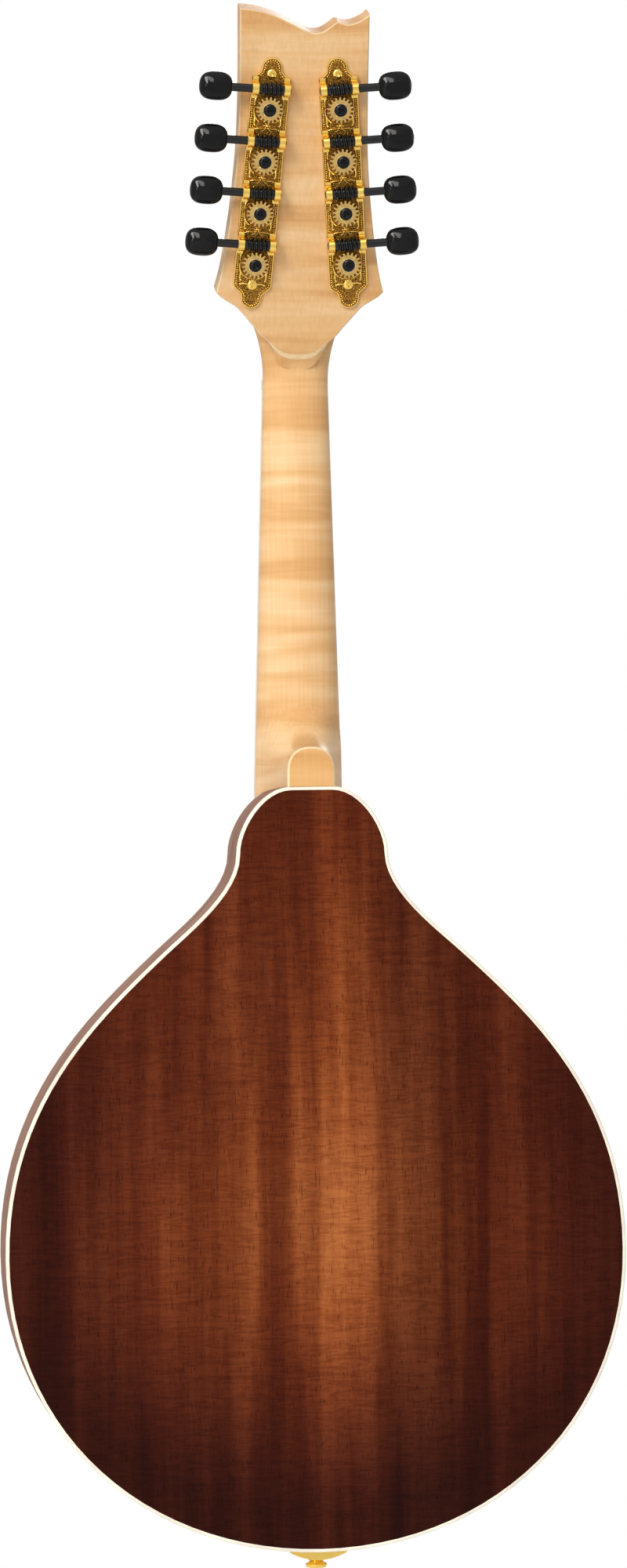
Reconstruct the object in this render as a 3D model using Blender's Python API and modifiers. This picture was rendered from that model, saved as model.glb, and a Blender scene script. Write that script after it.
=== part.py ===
"""An A-style mandolin with arched plates, eight geared tuners and a movable bridge.

The instrument hangs upright from its headstock: +Z runs along the neck, the back faces -Y and the
strings face +Y. The world origin is where a hanger's yoke holds the neck, under the headstock's ears.
Body heights are measured from the tail, and depths from the back edge of the rim.
"""

import math

import bmesh
import bpy
from mathutils import Matrix, Vector
from mathutils.geometry import interpolate_bezier

MM = 0.001
FIT = 0.3 * MM
SINK = 1.0 * MM

# Body outline
BODY_LENGTH = 333.8 * MM
HALF_WIDTH = 136.0 * MM
WIDEST_HEIGHT = 129.9 * MM
TAIL_REACH = 76.5 * MM
LOWER_REACH = 76.0 * MM
UPPER_REACH = 66.5 * MM
WAIST_HALF_WIDTH = 65.1 * MM
WAIST_HEIGHT = 262.7 * MM
WAIST_ANGLE = math.radians(137.3)
WAIST_REACH_BELOW = 44.6 * MM
WAIST_REACH_ABOVE = 13.8 * MM
NOSE_HALF_WIDTH = 33.2 * MM
NOSE_HEIGHT = 304.5 * MM
NOSE_REACH_BELOW = 16.0 * MM
NOSE_REACH_ABOVE = 12.0 * MM
NOSE_FLAT_HALF = 9.0 * MM
NOSE_CORNER_REACH = 13.0 * MM
BOUT_STEPS = 8
SHOULDER_STEPS = 7
CURL_STEPS = 4
NOSE_STEPS = 3

# Box of the body
RIM_DEPTH = 40.0 * MM
SIDE_THICKNESS = 2.4 * MM
LINING_WIDTH = 5.0 * MM
LINING_DEPTH = 8.0 * MM
PLATE_EDGE = 2.5 * MM
PLATE_THICKENING = 1.5 * MM
BINDING_WIDTH = 1.5 * MM
BACK_RISE = 8.0 * MM
TOP_RISE = 13.0 * MM
ARCH_CENTRE = 150.0 * MM
ARCH_SHARPNESS = 0.85
OUTER_RINGS = (0.92, 0.76, 0.5, 0.2)
INNER_RINGS = (0.8, 0.4)
NECK_BLOCK_LENGTH = 42.0 * MM
TAIL_BLOCK_LENGTH = 20.0 * MM
TAIL_BLOCK_HALF = 34.0 * MM
TONE_BAR_WIDTH = 6.0 * MM
TONE_BAR_DEPTH = 9.0 * MM
TONE_BAR_LOW = 78.0 * MM
TONE_BAR_HIGH = 250.0 * MM
TONE_BAR_X = 27.0 * MM
TONE_BAR_LEAN = 6.0 * MM

# Sound holes
HOLE_UPPER_EYE = (52.0 * MM, 197.0 * MM)
HOLE_LOWER_EYE = (77.0 * MM, 124.0 * MM)
HOLE_UPPER_RADIUS = 4.0 * MM
HOLE_LOWER_RADIUS = 4.8 * MM
HOLE_HALF_WIDTH = 3.6 * MM
HOLE_TIP_HALF_WIDTH = 1.3 * MM

# Neck and fingerboard
NUT_HEIGHT = 510.0 * MM
NUT_DEPTH = 43.8 * MM
NECK_ANGLE = math.radians(3.0)
SCALE_LENGTH = 352.4 * MM
NUT_HALF_WIDTH = 14.5 * MM
NECK_TAPER = 0.0275
NECK_ROUND_AT_NUT = 11.9 * MM
NECK_ROUND_AT_BODY = 17.0 * MM
BOARD_THICKNESS = 5.0 * MM
BOARD_OVERHANG = 8.0 * MM
FRET_COUNT = 20
FRET_HEIGHT = 1.0 * MM
FRET_FOOT = 0.95 * MM
FRET_CROWN = 0.45 * MM
TONGUE_THICKNESS = 5.0 * MM
TONGUE_INSET = 2.0 * MM
TONGUE_SHORTFALL = 8.0 * MM
NUT_LENGTH = 5.0 * MM
NUT_ABOVE_STRINGS = 0.5 * MM
HEEL_CAP_HALF_WIDTH = 10.4 * MM
HEEL_CAP_LENGTH = 17.3 * MM
HEEL_TOP_HALF_WIDTH = 18.8 * MM
HEEL_TOP_LENGTH = 58.0 * MM
HEEL_TOP_DEPTH = 47.0 * MM
TENON_HALF_WIDTH = 6.0 * MM
TENON_FLARE = 2.5 * MM
TENON_LENGTH = 15.0 * MM
TENON_FLOOR = 9.0 * MM

# Headstock
HEAD_ANGLE = math.radians(15.5)
HEAD_LENGTH = 168.3 * MM
HEAD_HALF_WIDTH = 36.9 * MM
HEAD_THICKNESS = 12.2 * MM
VENEER_THICKNESS = 1.6 * MM
SCOOP_DEPTH = 1.9 * MM
SCOOP_RUN = 7.0 * MM
FLARE_RUN = 29.0 * MM
FLARE_HALF_WIDTH = 21.6 * MM
FLARE_DEEPENING = 2.4 * MM
BUSHING_HEIGHT = 1.2 * MM
HANGER_HEIGHT = 22.0 * MM

# Tuners
POST_COUNT = 4
POST_PITCH = 23.06 * MM
POST_MIDDLE = 90.4 * MM
POST_HALF_SPACING = 18.0 * MM
PLATE_LEAN = math.radians(4.17)
TUNER_PLATE_THICKNESS = 1.2 * MM
TUNER_PLATE_HALF_WIDTH = 8.4 * MM
TUNER_PLATE_TOP = 56.6 * MM
TUNER_PLATE_BOTTOM = 55.0 * MM
PLATE_LOBE_RADIUS = 4.3 * MM
PLATE_END_LENGTH = 10.5 * MM
LUG_THICKNESS = 3.1 * MM
LUG_HALF_FOOT = 4.8 * MM
LUG_FOOT_THICKNESS = 1.3 * MM
LUG_BARREL_RADIUS = 3.2 * MM
WORM_HEIGHT = 5.4 * MM
WORM_OFFSET = 8.9 * MM
WORM_PITCH_RADIUS = 3.3 * MM
WORM_CREST_RADIUS = 3.5 * MM
WORM_ROOT_RADIUS = 2.35 * MM
WORM_FOOT = 0.36
WORM_TURNS = 4
WORM_STEPS = 10
GEAR_TEETH = 18
GEAR_TIP_RADIUS = 5.95 * MM
GEAR_ROOT_RADIUS = 4.8 * MM
GEAR_THICKNESS = 2.4 * MM
GEAR_BORE = 2.3 * MM
SHAFT_RADIUS = 1.85 * MM
SHAFT_FREE_LENGTH = 8.7 * MM
BUTTON_STEPS = 12
BUTTON_LENGTH = 14.5 * MM
BUTTON_HALF_HEIGHT = 6.25 * MM
BUTTON_HALF_THICKNESS = 3.8 * MM
BUTTON_SOCKET_DEPTH = 6.0 * MM
POST_RADIUS = 3.0 * MM
POST_WAIST_RADIUS = 2.5 * MM
POST_HOLE_RADIUS = 0.8 * MM
POST_STAND = 8.4 * MM
WINDING_RADIUS = 3.7 * MM
WINDING_START = 1.0 * MM
WINDING_HEIGHT = 2.6 * MM
GEAR_SCREW_RADIUS = 3.2 * MM
GEAR_SCREW_HEIGHT = 1.9 * MM
POST_STEPS = 8

# Strings, bass to treble
STRING_RADII = (0.48 * MM, 0.33 * MM, 0.19 * MM, 0.14 * MM)
COURSE_SPACING_AT_NUT = 7.2 * MM
PAIR_SPACING_AT_NUT = 2.0 * MM
COURSE_SPACING_AT_BRIDGE = 11.9 * MM
PAIR_SPACING_AT_BRIDGE = 2.6 * MM
HOOK_SPACING = 4.0 * MM
STRING_ABOVE_FIRST_FRET = 0.5 * MM
STRING_CLIMB = 2.4 * MM

# Bridge
BRIDGE_BASE_HALF_LENGTH = 50.0 * MM
BRIDGE_BASE_WIDTH = 9.0 * MM
BRIDGE_BASE_TOP = 4.6 * MM
BRIDGE_BASE_END = 2.6 * MM
STUD_SPACING = 60.0 * MM
STUD_RADIUS = 1.5 * MM
WHEEL_RADIUS = 6.0 * MM
WHEEL_THICKNESS = 2.0 * MM
SADDLE_TRAVEL = 2.0 * MM
SADDLE_HALF_LENGTH = 40.0 * MM
SADDLE_WIDTH = 5.4 * MM
SADDLE_TOP_WIDTH = 2.6 * MM
SADDLE_END_HEIGHT = 3.6 * MM
STUD_REACH = 3.2 * MM

# Tailpiece and end pin
TAILPIECE_SLOPE = math.radians(4.0)
TAILPIECE_METAL = 1.2 * MM
TAILPIECE_SWELL = 4.4 * MM
TAILPIECE_LEG_HALF_WIDTH = 12.3 * MM
TAILPIECE_LEG_LENGTH = 36.0 * MM
TAILPIECE_HALF_WIDTH = 19.5 * MM
TAILPIECE_LENGTH = 40.0 * MM
HOOK_PLACE = 30.0 * MM
HOOK_HEIGHT = 3.4 * MM
HOOK_WIDTH = 1.6 * MM
HOOK_TIP = 2.4 * MM
HOOK_THICKNESS = 1.0 * MM
COVER_METAL = 1.0 * MM
COVER_HALF_WIDTH = 22.5 * MM
COVER_LENGTH = 62.0 * MM
COVER_TAIL_HEIGHT = 4.6 * MM
COVER_FRONT_HEIGHT = 10.5 * MM
PIN_HEIGHT = 20.0 * MM
PIN_HEAD_RADIUS = 4.7 * MM
PIN_FACE_RADIUS = 4.0 * MM
PIN_NECK_RADIUS = 3.0 * MM
PIN_SHANK_RADIUS = 2.2 * MM
PIN_HEAD_LENGTH = 2.4 * MM
PIN_LENGTH = 4.3 * MM
PIN_SHANK_LENGTH = 16.0 * MM

# Where one piece ends and the next begins
TOP_FACE = RIM_DEPTH + FIT + PLATE_EDGE
BACK_FACE = -FIT - PLATE_EDGE
VENEER_FACE = FIT + VENEER_THICKNESS
PLATE_FACE = FIT + TUNER_PLATE_THICKNESS
GEAR_FLOOR = WORM_HEIGHT - GEAR_THICKNESS / 2
GEAR_FACE = WORM_HEIGHT + GEAR_THICKNESS / 2
LUG_INNER = TUNER_PLATE_HALF_WIDTH - LUG_THICKNESS
BOARD_FACE = FIT + BOARD_THICKNESS
STRING_FLOOR_AT_NUT = BOARD_FACE + FRET_HEIGHT + STRING_ABOVE_FIRST_FRET
STRING_FLOOR_AT_BRIDGE = STRING_FLOOR_AT_NUT + STRING_CLIMB
BOARD_LENGTH = SCALE_LENGTH * (1 - 2 ** (-FRET_COUNT / 12)) + BOARD_OVERHANG

COLOURS = {
    "maple": ((0.78, 0.55, 0.32), 0.35, 0.0),
    "mahogany": ((0.20, 0.05, 0.02), 0.3, 0.0),
    "mahogany_side": ((0.26, 0.12, 0.08), 0.35, 0.0),
    "spruce": ((0.80, 0.60, 0.36), 0.35, 0.0),
    "cream": ((0.92, 0.86, 0.72), 0.35, 0.0),
    "rosewood": ((0.07, 0.035, 0.025), 0.5, 0.0),
    "black_lacquer": ((0.012, 0.012, 0.012), 0.2, 0.0),
    "block_wood": ((0.55, 0.36, 0.2), 0.6, 0.0),
    "bone": ((0.88, 0.83, 0.72), 0.4, 0.0),
    "gold": ((0.83, 0.58, 0.16), 0.25, 1.0),
    "brass": ((0.72, 0.56, 0.28), 0.35, 1.0),
    "black_steel": ((0.02, 0.02, 0.02), 0.3, 0.6),
    "black_plastic": ((0.01, 0.01, 0.01), 0.12, 0.0),
    "string_steel": ((0.6, 0.6, 0.6), 0.3, 1.0),
    "string_bronze": ((0.6, 0.42, 0.24), 0.35, 1.0),
}


def clear_scene():
    for thing in list(bpy.data.objects):
        bpy.data.objects.remove(thing, do_unlink=True)


def make_collection(name):
    collection = bpy.data.collections.new(name)
    bpy.context.scene.collection.children.link(collection)
    return collection


def make_material(name):
    colour, roughness, metallic = COLOURS[name]
    material = bpy.data.materials.new(name)
    material.use_nodes = True
    shader = material.node_tree.nodes["Principled BSDF"]
    shader.inputs["Base Color"].default_value = (*colour, 1.0)
    shader.inputs["Roughness"].default_value = roughness
    shader.inputs["Metallic"].default_value = metallic
    return material


def make_frame(name, parent, location, rotation=(0.0, 0.0, 0.0)):
    frame = bpy.data.objects.new(name, None)
    frame.empty_display_size = 0.01
    PARTS.objects.link(frame)
    frame.parent = parent
    frame.location = location
    frame.rotation_euler = rotation
    return frame


def place(name, data, parent, material, location=(0.0, 0.0, 0.0), rotation=(0.0, 0.0, 0.0)):
    thing = bpy.data.objects.new(name, data)
    PARTS.objects.link(thing)
    thing.parent = parent
    thing.location = location
    thing.rotation_euler = rotation
    if thing.type == "MESH":
        data.materials.clear()
        data.shade_smooth()
        data.set_sharp_from_angle(angle=math.radians(35))
    data.materials.append(MATERIALS[material])
    return thing


def tool(name, data, parent, location=(0.0, 0.0, 0.0), rotation=(0.0, 0.0, 0.0)):
    """A shape that only cuts or joins others, and isn't a piece itself."""
    helper = bpy.data.objects.new(name, data)
    TOOLS.objects.link(helper)
    helper.parent = parent
    helper.location = location
    helper.rotation_euler = rotation
    helper.hide_render = True
    helper.display_type = "WIRE"
    return helper


def combine(thing, helper, operation, solver):
    change = thing.modifiers.new(f"{operation.lower()} {helper.name}", "BOOLEAN")
    change.operation = operation
    change.object = helper
    change.solver = solver


def join(thing, helper):
    combine(thing, helper, "UNION", "EXACT")


def cut(thing, helper, solver="EXACT"):
    combine(thing, helper, "DIFFERENCE", solver)


def finish_mesh(name, build):
    bmesh.ops.recalc_face_normals(build, faces=build.faces)
    data = bpy.data.meshes.new(name)
    build.to_mesh(data)
    build.free()
    return data


def add_loft(build, rings, closed=False):
    """Skin a row of rings that have as many points each, and cap the two ends unless it closes on itself."""
    rows = [[build.verts.new(point) for point in ring] for ring in rings]
    pairs = list(zip(rows, rows[1:]))
    if closed:
        pairs.append((rows[-1], rows[0]))
    for low, high in pairs:
        for i in range(len(low)):
            j = (i + 1) % len(low)
            build.faces.new((low[i], low[j], high[j], high[i]))
    if not closed:
        build.faces.new(rows[0])
        build.faces.new(rows[-1])


def loft(name, rings, closed=False):
    build = bmesh.new()
    add_loft(build, rings, closed)
    return finish_mesh(name, build)


def add_prism(build, outline, vector):
    face = build.faces.new([build.verts.new(point) for point in outline])
    grown = bmesh.ops.extrude_face_region(build, geom=[face])
    moved = [item for item in grown["geom"] if isinstance(item, bmesh.types.BMVert)]
    bmesh.ops.translate(build, verts=moved, vec=vector)


def prism(name, outline, vector):
    build = bmesh.new()
    add_prism(build, outline, vector)
    return finish_mesh(name, build)


def box(name, low, high):
    build = bmesh.new()
    size = Vector(high) - Vector(low)
    matrix = Matrix.Translation((Vector(high) + Vector(low)) / 2) @ Matrix.Diagonal((*size, 1.0))
    bmesh.ops.create_cube(build, size=1.0, matrix=matrix)
    return finish_mesh(name, build)


def rod(name, radius, start, end, steps=10):
    """A plain cylinder between two points."""
    build = bmesh.new()
    line = Vector(end) - Vector(start)
    turn = line.to_track_quat("Z", "Y").to_matrix().to_4x4()
    matrix = Matrix.Translation((Vector(start) + Vector(end)) / 2) @ turn
    bmesh.ops.create_cone(
        build, cap_ends=True, segments=steps, radius1=radius, radius2=radius, depth=line.length, matrix=matrix
    )
    return finish_mesh(name, build)


def turned_profile(name, profile):
    """The half section of a turned shape, as an edge line of radius and height, for a Screw modifier."""
    build = bmesh.new()
    line = [build.verts.new((radius, 0.0, height)) for radius, height in profile]
    for first, second in zip(line, line[1:]):
        build.edges.new((first, second))
    if profile[0][0] > 0.0:
        build.edges.new((line[-1], line[0]))
    data = bpy.data.meshes.new(name)
    build.to_mesh(data)
    build.free()
    return data


def turn_on_lathe(thing, steps):
    screw = thing.modifiers.new("lathe", "SCREW")
    screw.axis = "Z"
    screw.steps = steps
    screw.render_steps = steps
    screw.use_merge_vertices = True
    screw.merge_threshold = 0.00001
    screw.use_normal_calculate = False


def bezier(start, start_handle, end_handle, end, steps):
    flat = [Vector((*point, 0.0)) for point in (start, start_handle, end_handle, end)]
    return [(p.x, p.y) for p in interpolate_bezier(*flat, steps + 1)]


def inset(outline, distance):
    """Move a closed outline, which runs anticlockwise, inwards by a distance."""
    result = []
    count = len(outline)
    for i, point in enumerate(outline):
        before = Vector(outline[i]) - Vector(outline[i - 1])
        after = Vector(outline[(i + 1) % count]) - Vector(outline[i])
        first = Vector((-before.y, before.x)).normalized()
        second = Vector((-after.y, after.x)).normalized()
        middle = (first + second).normalized()
        moved = Vector(point) + middle * (distance / max(0.5, middle.dot(first)))
        result.append((moved.x, moved.y))
    return result


def body_outline():
    """The body seen from the front of the world, anticlockwise from the tail, as pairs of x and height."""
    waist = Vector((WAIST_HALF_WIDTH, WAIST_HEIGHT))
    slope = Vector((math.cos(WAIST_ANGLE), math.sin(WAIST_ANGLE)))
    nose = Vector((NOSE_HALF_WIDTH, NOSE_HEIGHT))
    lower = bezier(
        (0.0, 0.0),
        (TAIL_REACH, 0.0),
        (HALF_WIDTH, WIDEST_HEIGHT - LOWER_REACH),
        (HALF_WIDTH, WIDEST_HEIGHT),
        BOUT_STEPS,
    )
    upper = bezier(
        (HALF_WIDTH, WIDEST_HEIGHT),
        (HALF_WIDTH, WIDEST_HEIGHT + UPPER_REACH),
        tuple(waist - slope * WAIST_REACH_BELOW),
        tuple(waist),
        SHOULDER_STEPS,
    )
    curl = bezier(
        tuple(waist),
        tuple(waist + slope * WAIST_REACH_ABOVE),
        tuple(nose - Vector((0.0, NOSE_REACH_BELOW))),
        tuple(nose),
        CURL_STEPS,
    )
    round_nose = bezier(
        tuple(nose),
        tuple(nose + Vector((0.0, NOSE_REACH_ABOVE))),
        (NOSE_FLAT_HALF + NOSE_CORNER_REACH, BODY_LENGTH),
        (NOSE_FLAT_HALF, BODY_LENGTH),
        NOSE_STEPS,
    )
    right = lower[:-1] + upper[:-1] + curl[:-1] + round_nose
    left = [(-x, z) for x, z in reversed(right[1:])]
    return right + left


def lift(outline, depth):
    return [(x, depth, z) for x, z in outline]


def edge_distance(outline, x, z):
    """How far out a point lies, from 0 at the middle of the arch to 1 at the plate's edge."""
    ray = Vector((x, z - ARCH_CENTRE))
    if ray.length < 1e-9:
        return 0.0
    best = 1e-9
    for i, point in enumerate(outline):
        a = Vector((point[0], point[1] - ARCH_CENTRE))
        b = Vector((outline[i - 1][0], outline[i - 1][1] - ARCH_CENTRE))
        side = b - a
        cross = ray.x * side.y - ray.y * side.x
        if abs(cross) < 1e-15:
            continue
        along = (a.x * side.y - a.y * side.x) / cross
        across = (a.x * ray.y - a.y * ray.x) / cross
        if along > 0.0 and -1e-9 <= across <= 1.0 + 1e-9:
            best = max(best, along)
    return 1.0 / best


def arch(ratio, rise):
    """A carved arch: level at the middle and at the edge, where it sweeps into a shallow hollow."""
    return rise * (0.5 + 0.5 * math.cos(math.pi * min(1.0, ratio))) ** ARCH_SHARPNESS


def arched_plate(name, inner_face, direction, rise):
    """A plate with an arched outside and a hollowed inside. Direction is 1 for the top, -1 for the back."""
    edge = inset(OUTLINE, BINDING_WIDTH + FIT)
    rings = []

    def ring(ratio, depth):
        points = [(x * ratio, ARCH_CENTRE + (z - ARCH_CENTRE) * ratio) for x, z in edge]
        rings.append(lift(points, depth))

    for ratio in reversed(INNER_RINGS):
        ring(ratio, inner_face + direction * arch(ratio, rise - PLATE_THICKENING))
    ring(1.0, inner_face)
    ring(1.0, inner_face + direction * PLATE_EDGE)
    for ratio in OUTER_RINGS:
        ring(ratio, inner_face + direction * (PLATE_EDGE + arch(ratio, rise)))
    return loft(name, rings)


def ring_wall(name, outer, inner, low, high):
    """A band between two outlines, as deep as the gap between two depths."""
    return loft(name, [lift(outer, low), lift(outer, high), lift(inner, high), lift(inner, low)], closed=True)


def make_rim():
    """The bent sides with their two linings, which give the plates a wider edge to sit on."""
    inner = inset(OUTLINE, SIDE_THICKNESS)
    ledge = inset(OUTLINE, SIDE_THICKNESS + LINING_WIDTH)
    rings = [
        lift(OUTLINE, 0.0),
        lift(OUTLINE, RIM_DEPTH),
        lift(ledge, RIM_DEPTH),
        lift(inner, RIM_DEPTH - LINING_DEPTH),
        lift(inner, LINING_DEPTH),
        lift(ledge, 0.0),
    ]
    rim = place("rim", loft("rim", rings, closed=True), BODY, "mahogany_side")
    rooms = (("neck_block_room", neck_block_outline(-FIT)), ("tail_block_room", tail_block_outline(-FIT)))
    for name, outline in rooms:
        room = prism(name, lift(outline, -SINK), (0.0, RIM_DEPTH + 2 * SINK, 0.0))
        cut(rim, tool(name, room, BODY), "MANIFOLD")
    cut(rim, tool("rim_tenon_slot", tenon(FIT), BODY), "MANIFOLD")
    cut(rim, tool("rim_pin_hole", pin_hole(PIN_SHANK_RADIUS + FIT), BODY), "MANIFOLD")
    return rim


def neck_block_outline(shrink):
    """The block fills the nose of the body, from the inside of the rim down to a straight end."""
    inner = inset(OUTLINE, SIDE_THICKNESS + shrink)
    floor = BODY_LENGTH - NECK_BLOCK_LENGTH + shrink
    above = [point for point in inner if point[1] > floor]
    right = max(above, key=lambda p: (p[0], -p[1]))
    return [(-right[0], floor), (right[0], floor)] + [p for p in above if p[1] > floor + SINK]


def tail_block_outline(shrink):
    inner = inset(OUTLINE, SIDE_THICKNESS + shrink)
    half = TAIL_BLOCK_HALF - shrink
    low = sorted(p for p in inner if abs(p[0]) < half and p[1] < TAIL_BLOCK_LENGTH)
    edge_height = max(p[1] for p in low) + FIT * 2
    roof = SIDE_THICKNESS + TAIL_BLOCK_LENGTH - shrink
    return low + [(half, edge_height), (half, roof), (-half, roof), (-half, edge_height)]


def tenon(grow):
    """The dovetail that ties the neck to its block: wider inside than at the rim."""
    inner = BODY_LENGTH - TENON_LENGTH - grow
    outer = BODY_LENGTH + HEEL_CAP_LENGTH / 2
    narrow = TENON_HALF_WIDTH + grow
    wide = narrow + TENON_FLARE
    waist = BODY_LENGTH
    right = [(wide, inner), (narrow, waist), (narrow, outer)]
    outline = [(-wide, inner)] + right + [(-narrow, outer), (-narrow, waist)]
    low = TENON_FLOOR - grow
    high = RIM_DEPTH - FIT + (2 * grow)
    return prism("tenon", lift(outline, low), (0.0, high - low, 0.0))


def pin_hole(radius):
    outer = -FIT - TAILPIECE_SWELL - SINK
    inner = PIN_SHANK_LENGTH + 1.5 * MM
    return rod("pin_hole", radius, (0.0, PIN_HEIGHT, outer), (0.0, PIN_HEIGHT, inner), 12)


def make_blocks():
    depth = (0.0, RIM_DEPTH - 2 * FIT, 0.0)
    solid = prism("neck_block", lift(neck_block_outline(0.0), FIT), depth)
    neck_block = place("neck_block", solid, BODY, "block_wood")
    cut(neck_block, tool("block_tenon_slot", tenon(FIT), BODY))
    solid = prism("tail_block", lift(tail_block_outline(0.0), FIT), depth)
    tail_block = place("tail_block", solid, BODY, "block_wood")
    cut(tail_block, tool("block_pin_hole", pin_hole(PIN_SHANK_RADIUS + FIT), BODY))


def make_bindings():
    inner = inset(OUTLINE, BINDING_WIDTH)
    for name, low in (("back_binding", BACK_FACE), ("top_binding", RIM_DEPTH + FIT)):
        place(name, ring_wall(name, OUTLINE, inner, low, low + PLATE_EDGE), BODY, "cream")


def tone_bar(name, side):
    """A bar that follows the hollow under the soundboard and thins out towards its ends."""
    edge = inset(OUTLINE, BINDING_WIDTH + FIT)
    rings = []
    steps = 6
    for i in range(steps + 1):
        along = i / steps
        z = TONE_BAR_LOW + (TONE_BAR_HIGH - TONE_BAR_LOW) * along
        x = side * (TONE_BAR_X - TONE_BAR_LEAN * along)
        half = TONE_BAR_WIDTH / 2
        roof = RIM_DEPTH + FIT + arch(edge_distance(edge, x, z), TOP_RISE - PLATE_THICKENING)
        depth = TONE_BAR_DEPTH * (0.35 + 0.65 * math.sin(math.pi * along))
        rings.append(
            [
                (x - half, roof + SINK, z),
                (x + half, roof + SINK, z),
                (x + half * 0.6, roof - depth, z),
                (x - half * 0.6, roof - depth, z),
            ]
        )
    return loft(name, rings)


def sound_hole_tools(side):
    """The slot and the two eyes of one sound hole, as cutters through the soundboard."""
    low = Vector(HOLE_LOWER_EYE)
    high = Vector(HOLE_UPPER_EYE)
    sway = Vector((0.0, (high.y - low.y) * 0.45))
    swing = Vector((HOLE_LOWER_RADIUS * 1.6, 0.0))
    leaving = low - swing + sway * 0.6
    arriving = high + swing - sway * 0.6
    spine = bezier(tuple(low), tuple(leaving), tuple(arriving), tuple(high), 7)
    left, right = [], []
    for i, point in enumerate(spine):
        before = Vector(spine[max(0, i - 1)])
        after = Vector(spine[min(len(spine) - 1, i + 1)])
        along = (after - before).normalized()
        across = Vector((-along.y, along.x))
        swell = math.sin(math.pi * i / (len(spine) - 1))
        half = HOLE_TIP_HALF_WIDTH + (HOLE_HALF_WIDTH - HOLE_TIP_HALF_WIDTH) * swell
        left.append(Vector(point) + across * half)
        right.append(Vector(point) - across * half)
    outline = [(side * p.x, p.y) for p in left + right[::-1]]
    floor = RIM_DEPTH
    depth = PLATE_EDGE + TOP_RISE
    label = "bass" if side > 0 else "treble"
    tools = [tool(f"hole_slot_{label}", prism("hole_slot", lift(outline, floor), (0.0, depth, 0.0)), BODY)]
    for name, eye, radius in (("upper", high, HOLE_UPPER_RADIUS), ("lower", low, HOLE_LOWER_RADIUS)):
        start = (side * eye.x, floor, eye.y)
        end = (side * eye.x, floor + depth, eye.y)
        tools.append(tool(f"hole_{name}_eye_{label}", rod("hole_eye", radius, start, end, 8), BODY))
    return tools


def make_plates():
    back = arched_plate("back_plate", -FIT, -1.0, BACK_RISE)
    place("back_plate", back, BODY, "mahogany")
    top = arched_plate("soundboard", RIM_DEPTH + FIT, 1.0, TOP_RISE)
    soundboard = place("soundboard", top, BODY, "spruce")
    for label, side in (("bass", 1.0), ("treble", -1.0)):
        join(soundboard, tool(f"tone_bar_{label}", tone_bar("tone_bar", side), BODY))
        for helper in sound_hole_tools(side):
            cut(soundboard, helper)


def neck_half_width(z):
    """Half the width of the neck at a place along it, where the nut is 0 and the body is negative."""
    return NUT_HALF_WIDTH - NECK_TAPER * z


def flare_half_width(share):
    """Half the width of the neck where it widens into the headstock, from the nut's far edge on."""
    return NUT_HALF_WIDTH + (FLARE_HALF_WIDTH - NUT_HALF_WIDTH) * share**2


def neck_shaft():
    """The round-backed shaft, with its flat top falling away under the headstock."""
    at_body = -(NUT_HEIGHT - BODY_LENGTH) / math.cos(NECK_ANGLE)
    body_width = neck_half_width(at_body)
    places = [
        (at_body - SINK * 12, body_width, NECK_ROUND_AT_BODY),
        (at_body, body_width, NECK_ROUND_AT_BODY),
        (at_body * 0.55, neck_half_width(at_body * 0.55), (NECK_ROUND_AT_NUT + NECK_ROUND_AT_BODY) / 2),
        (at_body * 0.1, neck_half_width(at_body * 0.1), NECK_ROUND_AT_NUT),
        (0.0, NUT_HALF_WIDTH, NECK_ROUND_AT_NUT),
    ]
    for share in (0.0, 0.25, 0.5, 0.75, 1.0):
        depth = NECK_ROUND_AT_NUT + FLARE_DEEPENING * share**1.5
        places.append((NUT_LENGTH + FLARE_RUN * share, flare_half_width(share), depth))
    steps = 10
    rings = []
    for z, half, depth in places:
        top = -max(0.0, z - NUT_LENGTH) * math.tan(HEAD_ANGLE)
        ring = []
        for i in range(steps + 1):
            angle = math.pi * i / steps
            bulge = math.sin(angle) ** 0.85
            ring.append((half * math.cos(angle), top - (depth + top) * bulge, z))
        rings.append(ring)
    return loft("neck", rings)


def heel():
    """The heel swells from its flat cap to the full width of the neck."""
    rings = []
    levels = 6
    inside = BODY_LENGTH - 12 * SINK
    for i in range(levels + 1):
        rise = i / levels
        depth = BACK_FACE + (HEEL_TOP_DEPTH - BACK_FACE) * rise
        half = HEEL_CAP_HALF_WIDTH + (HEEL_TOP_HALF_WIDTH - HEEL_CAP_HALF_WIDTH) * rise**1.5
        reach = HEEL_CAP_LENGTH + (HEEL_TOP_LENGTH - HEEL_CAP_LENGTH) * rise**3.0
        bow = min(reach, half * 1.15)
        ring = [(half, depth, inside)]
        steps = 8
        for j in range(steps + 1):
            angle = math.pi * j / steps
            x = half * math.copysign(abs(math.cos(angle)) ** 0.8, math.cos(angle))
            z = BODY_LENGTH + reach - bow + bow * math.sin(angle) ** 0.8
            ring.append((x, depth, z))
        ring.append((-half, depth, inside))
        rings.append(ring)
    return loft("heel", rings)


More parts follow.
